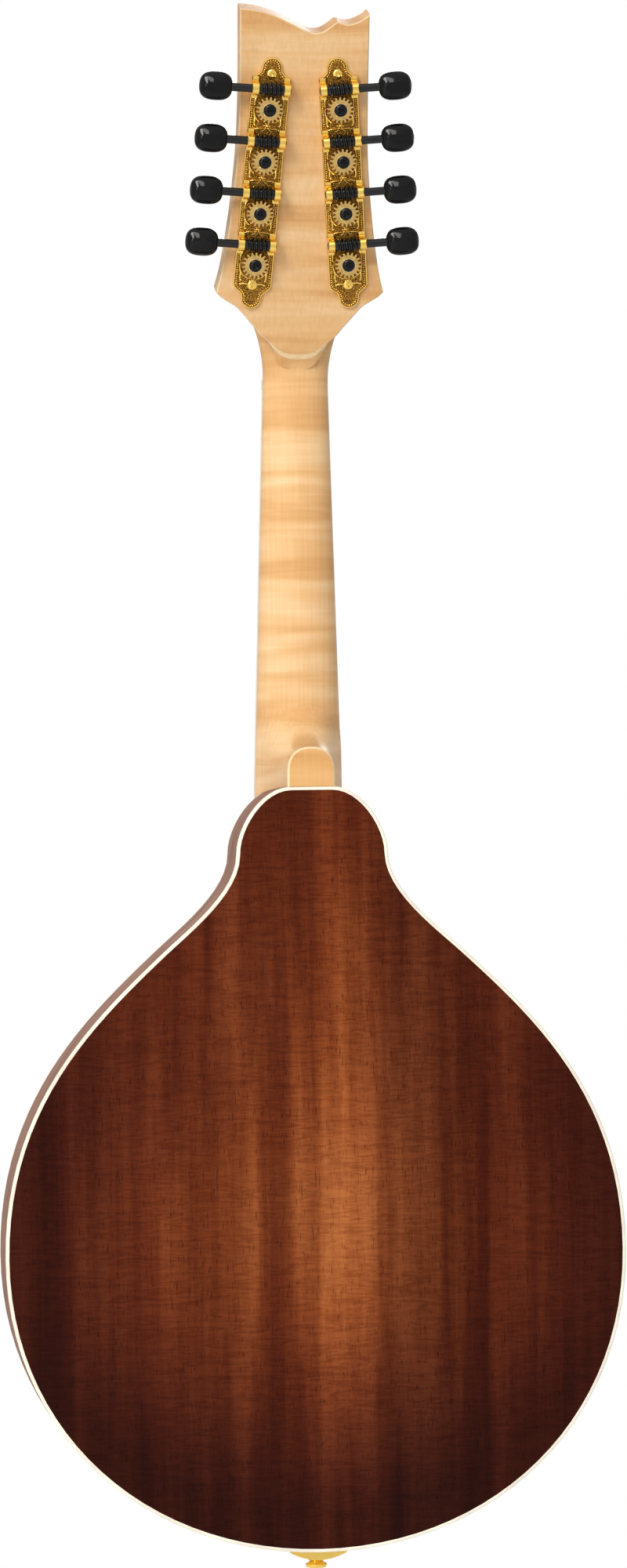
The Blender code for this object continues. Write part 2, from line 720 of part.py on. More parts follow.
def head_outline(drop=0.0):
    """The headstock seen square on, anticlockwise from the middle of its round lower end.

    Points are shares of its half width and length. The crown is a lopsided wave. The drop is how much
    further the lower end reaches down the neck.
    """
    lower = ((0.0, 0.0814), (0.1192, 0.0832), (0.206, 0.0891), (0.2927, 0.1022), (0.3713, 0.1182))
    side = (
        (0.4607, 0.1361),
        (0.523, 0.1533),
        (0.5935, 0.1711),
        (0.7398, 0.208),
        (0.8401, 0.2234),
        (0.9377, 0.2371),
        (1.0, 0.2501),
        (0.9919, 0.2591),
        (0.9322, 0.3161),
        (0.8455, 0.4456),
        (0.7778, 0.612),
        (0.7615, 0.7784),
    )
    crown = (
        (0.7588, 0.9851),
        (0.6938, 0.9739),
        (0.626, 0.9655),
        (0.5257, 0.9584),
        (0.4336, 0.9608),
        (0.3713, 0.9638),
        (0.29, 0.9507),
        (0.2005, 0.9388),
        (0.0949, 0.9358),
        (0.0081, 0.9418),
        (-0.1382, 0.9572),
        (-0.3198, 0.9774),
        (-0.477, 0.9899),
        (-0.6477, 0.9976),
        (-0.7751, 1.0),
    )
    right = []
    for x, v in lower:
        fade = 1.0 - (v - lower[0][1]) / (lower[-1][1] - lower[0][1])
        right.append((x * HEAD_HALF_WIDTH, v * HEAD_LENGTH - drop * fade))
    right += [(x * HEAD_HALF_WIDTH, v * HEAD_LENGTH) for x, v in side]
    top = [(x * HEAD_HALF_WIDTH, v * HEAD_LENGTH) for x, v in crown]
    left = [(-x, v) for x, v in reversed(right[1:])]
    return right + top + left


def headstock_slab():
    """The slab, whose lower end stands clear of the neck's back and slopes down to it in a scoop."""
    rings = []
    foot = SCOOP_RUN + SINK
    for y, drop in ((-HEAD_THICKNESS, 0.0), (SCOOP_DEPTH - HEAD_THICKNESS, SCOOP_RUN), (0.0, foot)):
        rings.append([(x, y, v) for x, v in head_outline(drop)])
    return loft("headstock", rings)


def veneer_outline():
    """The veneer covers the front of the headstock down to the nut."""
    points = [p for p in head_outline() if p[1] > FLARE_RUN]
    right = [(NUT_HALF_WIDTH, FIT)]
    right += [(flare_half_width(share), FLARE_RUN * share) for share in (0.25, 0.5, 0.75, 0.95)]
    left = [(-x, v) for x, v in reversed(right)]
    return right + points + left


def post_places():
    """Each post's place on the headstock, as its side, its number from the crown, and its x and height."""
    for label, side in (("left", -1.0), ("right", 1.0)):
        for k in range(POST_COUNT):
            along = (POST_COUNT / 2 - 0.5 - k) * POST_PITCH
            x = side * (POST_HALF_SPACING - along * math.sin(PLATE_LEAN))
            yield label, side, k, x, POST_MIDDLE + along * math.cos(PLATE_LEAN)


def post_holes(radius, low, high, steps):
    build = bmesh.new()
    for _, _, _, x, v in post_places():
        matrix = Matrix.Translation((x, (low + high) / 2, v)) @ Matrix.Rotation(math.pi / 2, 4, "X")
        bmesh.ops.create_cone(
            build,
            cap_ends=True,
            segments=steps,
            radius1=radius,
            radius2=radius,
            depth=high - low,
            matrix=matrix,
        )
    return finish_mesh("post_holes", build)


def make_neck():
    neck = place("neck", neck_shaft(), NECK, "maple")
    join(neck, tool("heel", heel(), BODY))
    join(neck, tool("headstock", headstock_slab(), HEAD))
    room_floor = BACK_FACE - 5 * SINK
    room_depth = TOP_FACE - room_floor + SINK / 2
    room = prism("body_room", lift(inset(OUTLINE, -FIT), room_floor), (0.0, room_depth, 0.0))
    cut(neck, tool("body_room", room, BODY))
    join(neck, tool("neck_tenon", tenon(0.0), BODY))
    end = -BOARD_LENGTH + TONGUE_SHORTFALL
    start = -(NUT_HEIGHT - BODY_LENGTH) + 2 * SINK
    rings = []
    for z in (end, start):
        half = neck_half_width(z) - TONGUE_INSET
        floor = -TONGUE_THICKNESS
        rings.append([(-half, floor, z), (half, floor, z), (half, 0.0, z), (-half, 0.0, z)])
    join(neck, tool("tongue", loft("tongue", rings), NECK))
    cut(neck, tool("neck_post_holes", post_holes(POST_RADIUS + FIT, -HEAD_THICKNESS - SINK, SINK, 8), HEAD))


def make_veneer():
    outline = [(x, FIT, v) for x, v in veneer_outline()]
    sheet = prism("veneer", outline, (0.0, VENEER_THICKNESS, 0.0))
    veneer = place("headstock_veneer", sheet, HEAD, "black_lacquer")
    cut(veneer, tool("veneer_post_holes", post_holes(POST_RADIUS + FIT, -SINK, VENEER_FACE + SINK, 8), HEAD))


def make_fingerboard():
    """The board and its frets in one side profile, skinned across the tapering width."""
    profile = [(-FIT, FIT), (-FIT, BOARD_FACE)]
    for fret in range(1, FRET_COUNT + 1):
        z = -SCALE_LENGTH * (1 - 2 ** (-fret / 12))
        profile.append((z + FRET_FOOT, BOARD_FACE))
        profile.append((z + FRET_CROWN, BOARD_FACE + FRET_HEIGHT))
        profile.append((z - FRET_CROWN, BOARD_FACE + FRET_HEIGHT))
        profile.append((z - FRET_FOOT, BOARD_FACE))
    profile += [(-BOARD_LENGTH, BOARD_FACE), (-BOARD_LENGTH, FIT)]
    sides = [[(side * neck_half_width(z), y, z) for z, y in profile] for side in (-1.0, 1.0)]
    place("fingerboard", loft("fingerboard", sides), NECK, "rosewood")


def string_layout():
    """Each string, bass to treble: its radius, its x at the nut, bridge and hooks, and its post."""
    posts = {(label, k): (x, v) for label, _, k, x, v in post_places()}
    order = [("right", k) for k in (3, 2, 1, 0)] + [("left", k) for k in (0, 1, 2, 3)]
    for number, key in enumerate(order):
        course, twin = divmod(number, 2)
        lean = 0.5 - twin
        at_nut = (1.5 - course) * COURSE_SPACING_AT_NUT + lean * PAIR_SPACING_AT_NUT
        at_bridge = (1.5 - course) * COURSE_SPACING_AT_BRIDGE + lean * PAIR_SPACING_AT_BRIDGE
        at_hook = (3.5 - number) * HOOK_SPACING
        yield number + 1, STRING_RADII[course], at_nut, at_bridge, at_hook, posts[key]


def make_nut():
    half = NUT_HALF_WIDTH
    roof = STRING_FLOOR_AT_NUT + NUT_ABOVE_STRINGS
    far = NUT_LENGTH - FIT
    side = [(0.0, FIT), (far, FIT), (far, roof - 1.6 * MM), (far * 0.55, roof - 0.2 * MM), (0.0, roof)]
    rings = [[(x, y, z) for z, y in side] for x in (-half, half)]
    nut = place("nut", loft("nut", rings), NECK, "bone")
    build = bmesh.new()
    for _, radius, at_nut, _, _, (post_x, post_v) in string_layout():
        half_slot = radius + FIT
        floor = STRING_FLOOR_AT_NUT - FIT
        drift = (post_x - at_nut) / post_v * NUT_LENGTH
        fall = NUT_LENGTH * math.tan(HEAD_ANGLE) * 0.5
        rows = []
        for z, x, y in ((-SINK, at_nut, floor), (far + SINK, at_nut + drift, floor - fall)):
            high = roof + 2 * SINK
            left, right = x - half_slot, x + half_slot
            rows.append([(left, y, z), (right, y, z), (right, high, z), (left, high, z)])
        add_loft(build, rows)
    cut(nut, tool("nut_slots", finish_mesh("nut_slots", build), NECK))


def lug_profile():
    """A lug seen along its shaft: two feet, and a barrel over the shaft."""
    foot = LUG_FOOT_THICKNESS
    outline = [(-LUG_HALF_FOOT, 0.0), (-LUG_HALF_FOOT, foot), (-LUG_BARREL_RADIUS, foot)]
    steps = 5
    middle = WORM_HEIGHT - PLATE_FACE
    for i in range(steps + 1):
        angle = math.pi * (1 - i / steps)
        outline.append((LUG_BARREL_RADIUS * math.cos(angle), middle + LUG_BARREL_RADIUS * math.sin(angle)))
    return outline + [(-y, n) for y, n in reversed(outline[:3])]


def plate_outline():
    """The stamped plate: straight sides, and ends drawn in by an ogee to a round lobe."""
    shoulder = PLATE_END_LENGTH
    half = TUNER_PLATE_HALF_WIDTH
    radius = PLATE_LOBE_RADIUS
    turns = [math.pi / 2 * i / 3 for i in range(4)]
    lobe = [(radius * math.cos(turn), radius * math.sin(turn)) for turn in turns]
    leaving = (half * 0.95, shoulder * 0.28)
    ogee = bezier((half, 0.0), leaving, (radius, shoulder * 0.25), (radius, shoulder - radius), 4)
    quarter = ogee[:-1] + [(x, y + shoulder - radius) for x, y in lobe]
    top = [(x, TUNER_PLATE_TOP - shoulder + y) for x, y in quarter]
    bottom = [(x, -TUNER_PLATE_BOTTOM + shoulder - y) for x, y in quarter]
    right = list(reversed(bottom)) + top
    left = [(-x, y) for x, y in reversed(right[1:-1])]
    return right + left


def make_tuner_plate(label, side, frame):
    outline = [(x, y, FIT) for x, y in plate_outline()]
    sheet = prism("plate", outline, (0.0, 0.0, TUNER_PLATE_THICKNESS))
    plate = place(f"tuner_plate_{label}", sheet, frame, "gold")
    lugs, bores, holes = bmesh.new(), bmesh.new(), bmesh.new()
    for k in range(POST_COUNT):
        along = (POST_COUNT / 2 - 0.5 - k) * POST_PITCH
        for inner in (-TUNER_PLATE_HALF_WIDTH, LUG_INNER):
            profile = [(inner, along + WORM_OFFSET + y, n + PLATE_FACE - SINK / 2) for y, n in lug_profile()]
            add_prism(lugs, profile, (LUG_THICKNESS, 0.0, 0.0))
        turn = Matrix.Rotation(math.pi / 2, 4, "Y")
        matrix = Matrix.Translation((0.0, along + WORM_OFFSET, WORM_HEIGHT)) @ turn
        radius = (SHAFT_RADIUS + FIT) / math.cos(math.pi / 6)
        depth = 4 * TUNER_PLATE_HALF_WIDTH
        bmesh.ops.create_cone(
            bores, cap_ends=True, segments=6, radius1=radius, radius2=radius, depth=depth, matrix=matrix
        )
        radius = POST_RADIUS + FIT
        matrix = Matrix.Translation((0.0, along, 0.0))
        bmesh.ops.create_cone(
            holes, cap_ends=True, segments=8, radius1=radius, radius2=radius, depth=6 * MM, matrix=matrix
        )
    join(plate, tool(f"lugs_{label}", finish_mesh("lugs", lugs), frame))
    cut(plate, tool(f"lug_bores_{label}", finish_mesh("bores", bores), frame))
    cut(plate, tool(f"plate_holes_{label}", finish_mesh("holes", holes), frame))


def worm_shaft():
    """The worm, its journals and the rod out to the button, along the Z axis.

    The right-handed thread is a skin between helical lines of root and crest, each of which runs on into
    the next turn's. On the gear's side its crests lie a half pitch from the middle, so that a tooth of the
    gear stands between two turns.
    """
    pitch = 2 * math.pi * (WORM_OFFSET - WORM_PITCH_RADIUS) / GEAR_TEETH
    section = ((WORM_ROOT_RADIUS, -WORM_FOOT), (WORM_CREST_RADIUS, 0.0), (WORM_ROOT_RADIUS, WORM_FOOT))
    lines = len(section)
    last = lines * WORM_TURNS
    middle = (WORM_TURNS + 1) / 2 - WORM_FOOT
    phase = -math.pi / 2 - 2 * math.pi * (middle + 0.5)
    build = bmesh.new()
    grid = {}

    def vertex(line, step):
        if step == WORM_STEPS:
            line, step = line + lines, 0
        if (line, step) not in grid:
            radius, offset = section[line % lines]
            turn = line // lines + step / WORM_STEPS
            ease = max(0.0, min(1.0, turn * WORM_STEPS / 3, (WORM_TURNS - turn) * WORM_STEPS / 3))
            radius = WORM_ROOT_RADIUS + (radius - WORM_ROOT_RADIUS) * ease
            angle = 2 * math.pi * turn + phase
            spot = (radius * math.cos(angle), radius * math.sin(angle), pitch * (turn + offset - middle))
            grid[line, step] = build.verts.new(spot)
        return grid[line, step]

    for line in range(last):
        for step in range(WORM_STEPS):
            near = (vertex(line, step), vertex(line, step + 1))
            far = (vertex(line + 1, step + 1), vertex(line + 1, step))
            build.faces.new(near + far)
    shoulder = LUG_INNER - FIT
    button_end = TUNER_PLATE_HALF_WIDTH + SHAFT_FREE_LENGTH + BUTTON_SOCKET_DEPTH - FIT
    for first, start, end in ((0, -shoulder, -TUNER_PLATE_HALF_WIDTH), (last, shoulder, button_end)):
        edge = [vertex(first, step) for step in range(WORM_STEPS + 1)]
        journal, tip = [], []
        for corner in edge[:-1]:
            spoke = corner.co.to_2d().normalized() * SHAFT_RADIUS
            journal.append(build.verts.new((*spoke, start)))
            tip.append(build.verts.new((*spoke, end)))
        for i in range(WORM_STEPS):
            j = (i + 1) % WORM_STEPS
            build.faces.new((edge[i], edge[i + 1], journal[j], journal[i]))
            build.faces.new((journal[i], journal[j], tip[j], tip[i]))
        for line in range(lines):
            build.faces.new((vertex(first + line, 0), vertex(first + line + 1, 0), journal[0]))
        build.faces.new(tip)
    return finish_mesh("worm_shaft", build)


def button_mesh(side):
    """A button as rounded rectangles of changing size along its shaft, with a bevelled end."""
    length, high, thick = BUTTON_LENGTH, BUTTON_HALF_HEIGHT, BUTTON_HALF_THICKNESS
    places = (
        (0.0, 0.50, 0.66),
        (0.07, 0.80, 0.86),
        (0.25, 0.97, 1.0),
        (0.75, 1.0, 1.0),
        (0.93, 0.84, 0.82),
        (1.0, 0.62, 0.56),
    )
    rings = []
    start = TUNER_PLATE_HALF_WIDTH + SHAFT_FREE_LENGTH
    for along, tall, deep in places:
        ring = []
        for i in range(BUTTON_STEPS):
            angle = 2 * math.pi * (i + 0.5) / BUTTON_STEPS
            y = high * tall * math.copysign(abs(math.cos(angle)) ** 0.55, math.cos(angle))
            n = thick * deep * math.copysign(abs(math.sin(angle)) ** 0.75, math.sin(angle))
            ring.append((side * (start + along * length), y, n))
        rings.append(ring)
    return loft("button", rings)


def gear_mesh():
    """A gear with a tooth pointing at the worm. Each tooth is a trapezium on the root circle."""
    outline = []
    pitch_angle = 2 * math.pi / GEAR_TEETH
    root_half = pitch_angle * 0.25
    tip_half = pitch_angle * 0.14
    for tooth in range(GEAR_TEETH):
        middle = math.pi / 2 + tooth * pitch_angle
        for angle, radius in (
            (middle - root_half, GEAR_ROOT_RADIUS),
            (middle - tip_half, GEAR_TIP_RADIUS),
            (middle + tip_half, GEAR_TIP_RADIUS),
            (middle + root_half, GEAR_ROOT_RADIUS),
        ):
            outline.append((radius * math.cos(angle), radius * math.sin(angle), GEAR_FLOOR))
    return prism("gear", outline, (0.0, 0.0, GEAR_THICKNESS))


def post_profile():
    """A string post from the screw that holds its gear to its tip in front of the headstock."""
    front = -(HEAD_THICKNESS + VENEER_FACE)
    winding = front - BUSHING_HEIGHT - WINDING_START
    tip = front - POST_STAND
    head = GEAR_FACE + FIT
    return [
        (0.0, head + GEAR_SCREW_HEIGHT),
        (GEAR_SCREW_RADIUS * 0.7, head + GEAR_SCREW_HEIGHT * 0.72),
        (GEAR_SCREW_RADIUS, head),
        (GEAR_BORE - FIT, head),
        (GEAR_BORE - FIT, GEAR_FLOOR - FIT),
        (POST_RADIUS, GEAR_FLOOR - FIT),
        (POST_RADIUS, winding),
        (WINDING_RADIUS, winding - 0.3 * MM),
        (WINDING_RADIUS, winding - WINDING_HEIGHT + 0.3 * MM),
        (POST_WAIST_RADIUS, winding - WINDING_HEIGHT),
        (POST_RADIUS, tip + 0.8 * MM),
        (POST_RADIUS * 0.75, tip),
        (0.0, tip),
    ]


def make_tuner(label, side, k, frame):
    name = f"{label}_{k + 1}"
    along = (POST_COUNT / 2 - 0.5 - k) * POST_PITCH
    shaft_place = (0.0, along + WORM_OFFSET, WORM_HEIGHT)
    turn = (0.0, side * math.pi / 2, 0.0)
    shaft_frame = make_frame(f"shaft_axis_{name}", frame, shaft_place)
    place(f"tuner_shaft_{name}", worm_shaft(), shaft_frame, "black_steel", rotation=turn)
    button = place(f"tuner_button_{name}", button_mesh(side), shaft_frame, "black_plastic")
    start = side * (TUNER_PLATE_HALF_WIDTH + SHAFT_FREE_LENGTH - SINK)
    end = start + side * (BUTTON_SOCKET_DEPTH + SINK)
    socket = rod("socket", SHAFT_RADIUS + FIT, (start, 0.0, 0.0), (end, 0.0, 0.0), 8)
    cut(button, tool(f"button_socket_{name}", socket, shaft_frame))
    post_frame = make_frame(f"post_axis_{name}", frame, (0.0, along, 0.0))
    gear = place(f"tuner_gear_{name}", gear_mesh(), post_frame, "brass")
    bore = rod("gear_bore", GEAR_BORE, (0.0, 0.0, GEAR_FLOOR - SINK), (0.0, 0.0, GEAR_FACE + SINK), 10)
    cut(gear, tool(f"gear_bore_{name}", bore, post_frame))
    post = place(f"string_post_{name}", turned_profile("post", post_profile()), post_frame, "gold")
    turn_on_lathe(post, POST_STEPS)
    height = -(HEAD_THICKNESS + VENEER_FACE + POST_STAND) + 2.2 * MM
    eye = rod("string_eye", POST_HOLE_RADIUS, (0.0, -5 * MM, height), (0.0, 5 * MM, height), 6)
    cut(post, tool(f"string_eye_{name}", eye, post_frame))


def make_tuners():
    for label, side in (("left", -1.0), ("right", 1.0)):
        origin = (side * POST_HALF_SPACING, -HEAD_THICKNESS, POST_MIDDLE)
        frame = make_frame(f"tuner_frame_{label}", HEAD, origin, (math.pi / 2, -side * PLATE_LEAN, 0.0))
        make_tuner_plate(label, side, frame)
        for k in range(POST_COUNT):
            make_tuner(label, side, k, frame)


def bridge_point():
    """Where the strings' undersides cross the saddle, in the body's frame."""
    y = STRING_FLOOR_AT_BRIDGE
    z = -SCALE_LENGTH
    depth = NUT_DEPTH + y * math.cos(NECK_ANGLE) - z * math.sin(NECK_ANGLE)
    height = NUT_HEIGHT + y * math.sin(NECK_ANGLE) + z * math.cos(NECK_ANGLE)
    return depth, height


def base_roof(x, sag):
    """The height of the bridge base's top at a place along it: raised in the middle, low at its ends."""
    half = BRIDGE_BASE_HALF_LENGTH
    middle = math.cos(math.pi / 2 * x / half) ** 0.7 if abs(x) < half else 0.0
    return sag * (1 - middle) + BRIDGE_BASE_END + (BRIDGE_BASE_TOP - BRIDGE_BASE_END) * middle


def make_bridge():
    string_floor, height = bridge_point()
    frame = make_frame("bridge_frame", BODY, (0.0, TOP_FACE + TOP_RISE, height))
    roof = BRIDGE_BASE_TOP
    half = BRIDGE_BASE_HALF_LENGTH
    width = BRIDGE_BASE_WIDTH / 2
    edge = inset(OUTLINE, BINDING_WIDTH + FIT)
    rings = []
    steps = 10
    for i in range(steps + 1):
        x = -half + 2 * half * i / steps
        sag = arch(edge_distance(edge, x, height), TOP_RISE) - TOP_RISE
        top = base_roof(x, sag)
        narrow = width * (1.0 - 0.25 * abs(x / half) ** 2)
        bottom = sag - 1.6 * MM
        crest = narrow * 0.7
        rings.append([(x, bottom, -width), (x, top, -crest), (x, top, crest), (x, bottom, width)])
    base = place("bridge_base", loft("bridge_base", rings), frame, "rosewood")
    seat = arched_plate("bridge_seat", RIM_DEPTH + FIT, 1.0, TOP_RISE)
    cut(base, tool("bridge_seat", seat, BODY, location=(0.0, FIT, 0.0)))
    saddle_floor = roof + SADDLE_TRAVEL + WHEEL_THICKNESS + 3 * FIT
    saddle_roof = string_floor - (TOP_FACE + TOP_RISE) - FIT
    sag = arch(edge_distance(edge, STUD_SPACING / 2, height), TOP_RISE) - TOP_RISE
    stud_floor = base_roof(STUD_SPACING / 2, sag) - SINK
    studs, sockets = bmesh.new(), bmesh.new()
    for x in (-STUD_SPACING / 2, STUD_SPACING / 2):
        turn = Matrix.Rotation(math.pi / 2, 4, "X")
        for build, radius, low, high in (
            (studs, STUD_RADIUS, stud_floor, saddle_floor + STUD_REACH - 2 * FIT - SADDLE_TRAVEL),
            (sockets, STUD_RADIUS + FIT, saddle_floor - SINK, saddle_floor + STUD_REACH),
        ):
            matrix = Matrix.Translation((x, (low + high) / 2, 0.0)) @ turn
            bmesh.ops.create_cone(
                build,
                cap_ends=True,
                segments=8,
                radius1=radius,
                radius2=radius,
                depth=high - low,
                matrix=matrix,
            )
    join(base, tool("bridge_studs", finish_mesh("bridge_studs", studs), frame))
    saddle = place("bridge_saddle", saddle_mesh(saddle_floor, saddle_roof), frame, "rosewood")
    cut(saddle, tool("saddle_sockets", finish_mesh("saddle_sockets", sockets), frame))
    for label, side in (("bass", 1.0), ("treble", -1.0)):
        low = saddle_floor - FIT - WHEEL_THICKNESS
        bore = STUD_RADIUS + FIT
        high = low + WHEEL_THICKNESS
        disc = turned_profile("wheel", [(WHEEL_RADIUS, high), (WHEEL_RADIUS, low), (bore, low), (bore, high)])
        spot = (side * STUD_SPACING / 2, 0.0, 0.0)
        wheel = place(f"bridge_wheel_{label}", disc, frame, "brass", spot, (-math.pi / 2, 0.0, 0.0))
        turn_on_lathe(wheel, 14)


def saddle_mesh(floor, roof):
    """The saddle: level on its thumbwheels, thin at the string line, and low at its two ends."""
    rings = []
    places = [(-1.0, 0.0), (-0.72, 0.35), (-0.6, 1.0), (0.6, 1.0), (0.72, 0.35), (1.0, 0.0)]
    for along, tall in places:
        x = along * SADDLE_HALF_LENGTH
        low_top = floor + SADDLE_END_HEIGHT
        top = low_top + (roof - low_top) * tall
        crest = SADDLE_WIDTH + (SADDLE_TOP_WIDTH - SADDLE_WIDTH) * tall
        half, thin = SADDLE_WIDTH / 2, crest / 2
        shoulder = low_top - SINK
        near = [(x, floor, -half), (x, shoulder, -half), (x, top, -thin)]
        rings.append(near + [(x, y, -z) for x, y, z in reversed(near)])
    return loft("saddle", rings)


def make_tailpiece():
    """A sheet over the strings' end of the top, bent round the tail, where it swells to seat the end pin."""
    metal = TAILPIECE_METAL
    leg_top = TOP_FACE + FIT + metal
    half, neck = TAILPIECE_HALF_WIDTH, TAILPIECE_LEG_HALF_WIDTH
    section = [(neck, -FIT), (-neck, -FIT)]
    steps = 8
    for i in range(steps + 1):
        across = 2 * i / steps - 1
        swell = metal + (TAILPIECE_SWELL - metal) * (1 - across**2)
        section.append((neck * across, -FIT - swell))
    leg = prism("tailpiece", lift(section, leg_top), (0.0, -TAILPIECE_LEG_LENGTH, 0.0))
    tailpiece = place("tailpiece", leg, BODY, "gold")
    flare = bezier((neck, 4 * MM), (neck, 10 * MM), (half, 8 * MM), (half, 14 * MM), 3)
    corner = [(half, TAILPIECE_LENGTH - 6 * MM), (half - 5 * MM, TAILPIECE_LENGTH)]
    right = [(neck, -FIT - metal)] + flare + corner
    outline = right + [(-x, z) for x, z in reversed(right)]
    sheet = prism("tailpiece_sheet", [(x, 0.0, z) for x, z in outline], (0.0, metal, 0.0))
    join(tailpiece, tool("tailpiece_sheet", sheet, TAIL))
    hooks = bmesh.new()
    roof, thick = metal + HOOK_HEIGHT, HOOK_WIDTH
    side = [
        (0.0, metal * 0.4),
        (thick, metal * 0.4),
        (thick, metal * 1.2),
        (thick / 8, roof),
        (-HOOK_TIP, roof),
        (-HOOK_TIP, roof - HOOK_THICKNESS),
    ]
    for number in range(8):
        x = (3.5 - number) * HOOK_SPACING - HOOK_WIDTH / 2
        profile = [(x, y, HOOK_PLACE + z) for z, y in side]
        add_prism(hooks, profile, (HOOK_WIDTH, 0.0, 0.0))
    join(tailpiece, tool("string_hooks", finish_mesh("string_hooks", hooks), TAIL))
    cut(tailpiece, tool("tailpiece_pin_hole", pin_hole(PIN_SHANK_RADIUS + FIT), BODY))


def make_cover():
    """A domed cover that slides off over the tail, as arched sections that rise towards the strings."""
    rings = []
    steps = 8
    foot = TAILPIECE_METAL + FIT
    for along in (0.0, 0.06, 0.25, 0.6, 0.92, 1.0):
        z = -2 * MM + COVER_LENGTH * along
        half = COVER_HALF_WIDTH * (0.78 + 0.22 * math.sin(math.pi * min(1.0, along * 1.4) / 2))
        rise = COVER_TAIL_HEIGHT + (COVER_FRONT_HEIGHT - COVER_TAIL_HEIGHT) * min(1.0, along * 1.3) ** 0.8
        outer, inner = [], []
        for i in range(steps + 1):
            angle = math.pi * i / steps
            flat = abs(math.sin(angle)) ** 0.5
            spread = math.copysign(abs(math.cos(angle)) ** 0.7, math.cos(angle))
            outer.append((half * spread, foot + rise * flat, z))
            inner.append(((half - COVER_METAL) * spread, foot + (rise - COVER_METAL) * flat, z))
        rings.append(outer + inner[::-1])
    place("tailpiece_cover", loft("tailpiece_cover", rings), TAIL, "gold")


def make_end_pin():
    seat = -2 * FIT - TAILPIECE_SWELL
    face = seat - PIN_LENGTH
    profile = [
        (0.0, PIN_SHANK_LENGTH),
        (PIN_SHANK_RADIUS, PIN_SHANK_LENGTH - SINK),
        (PIN_SHANK_RADIUS, seat),
        (PIN_FACE_RADIUS, seat),
        (PIN_FACE_RADIUS, seat - SINK / 2),
        (PIN_NECK_RADIUS, seat - SINK),
        (PIN_HEAD_RADIUS, face + PIN_HEAD_LENGTH),
        (PIN_HEAD_RADIUS, face + SINK * 0.7),
        (PIN_FACE_RADIUS, face),
        (0.0, face),
    ]
    pin = place("end_pin", turned_profile("end_pin", profile), BODY, "gold", location=(0.0, PIN_HEIGHT, 0.0))
    turn_on_lathe(pin, 12)


def frame_point(frame, point):
    """A point of one frame, in the body's frame."""
    return BODY.matrix_world.inverted() @ frame.matrix_world @ Vector(point)


def make_strings():
    bpy.context.view_layer.update()
    depth, height = bridge_point()
    materials = ("string_bronze", "string_bronze", "string_steel", "string_steel")
    winding = VENEER_FACE + BUSHING_HEIGHT + WINDING_START + WINDING_HEIGHT / 2
    for number, radius, at_nut, at_bridge, at_hook, (post_x, post_v) in string_layout():
        hook = frame_point(TAIL, (at_hook, TAILPIECE_METAL + FIT * 2 + radius, HOOK_PLACE + HOOK_WIDTH + FIT))
        saddle = Vector((at_bridge, depth + radius, height))
        nut_front = frame_point(NECK, (at_nut, STRING_FLOOR_AT_NUT + radius, 0.0))
        drift = (post_x - at_nut) / post_v * NUT_LENGTH
        fall = NUT_LENGTH * math.tan(HEAD_ANGLE) * 0.5
        nut_rear = frame_point(NECK, (at_nut + drift, STRING_FLOOR_AT_NUT - fall + radius, NUT_LENGTH))
        side = math.copysign(1.0, post_x)
        reach = WINDING_RADIUS + radius + FIT
        end = frame_point(HEAD, (post_x - side * reach, winding, post_v))
        spine = bpy.data.curves.new(f"string_{number}", "CURVE")
        spine.dimensions = "3D"
        spine.bevel_depth = radius
        spine.bevel_resolution = 2
        spine.use_fill_caps = True
        spine.render_resolution_u = 0
        line = spine.splines.new("POLY")
        points = [hook, saddle, nut_front, nut_rear, end]
        line.points.add(len(points) - 1)
        for slot, point in zip(line.points, points):
            slot.co = (*point, 1.0)
        place(f"string_{number}", spine, BODY, materials[(number - 1) // 2])


clear_scene()
PARTS = make_collection("mandolin")
TOOLS = make_collection("cutters")
MATERIALS = {name: make_material(name) for name in COLOURS}
OUTLINE = body_outline()

BODY = make_frame("body_frame", None, (0.0, 0.0, 0.0))
NECK = make_frame("neck_frame", BODY, (0.0, NUT_DEPTH, NUT_HEIGHT), (NECK_ANGLE, 0.0, 0.0))
HEAD = make_frame("head_frame", NECK, (0.0, 0.0, NUT_LENGTH), (HEAD_ANGLE, 0.0, 0.0))
TAIL = make_frame("tailpiece_frame", BODY, (0.0, TOP_FACE + FIT, 0.0), (-TAILPIECE_SLOPE, 0.0, 0.0))
bpy.context.view_layer.update()
BODY.location = -(HEAD.matrix_world @ Vector((0.0, -HEAD_THICKNESS / 2, HANGER_HEIGHT)))

make_rim()
make_blocks()
make_bindings()
make_plates()
make_neck()
make_veneer()
make_fingerboard()
make_nut()
make_tuners()
make_bridge()
make_tailpiece()
make_cover()
make_end_pin()
make_strings()
bpy.context.view_layer.update()
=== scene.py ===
import math

import bmesh
import bpy
from mathutils import Matrix, Vector
from mathutils.geometry import interpolate_bezier


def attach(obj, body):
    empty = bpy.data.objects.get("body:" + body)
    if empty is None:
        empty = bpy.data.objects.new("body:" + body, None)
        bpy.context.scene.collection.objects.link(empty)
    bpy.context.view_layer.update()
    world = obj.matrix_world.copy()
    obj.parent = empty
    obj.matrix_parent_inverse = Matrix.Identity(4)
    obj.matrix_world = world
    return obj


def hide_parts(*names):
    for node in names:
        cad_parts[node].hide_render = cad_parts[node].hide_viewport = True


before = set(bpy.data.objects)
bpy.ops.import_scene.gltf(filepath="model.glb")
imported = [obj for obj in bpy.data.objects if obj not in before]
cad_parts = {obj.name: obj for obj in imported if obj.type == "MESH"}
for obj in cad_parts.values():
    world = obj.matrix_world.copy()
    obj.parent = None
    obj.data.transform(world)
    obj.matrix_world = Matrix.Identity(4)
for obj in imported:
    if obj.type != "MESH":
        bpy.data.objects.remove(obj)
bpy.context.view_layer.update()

MM = 0.001
FIT = 0.3 * MM
EDGE_BREAK = 0.3 * MM

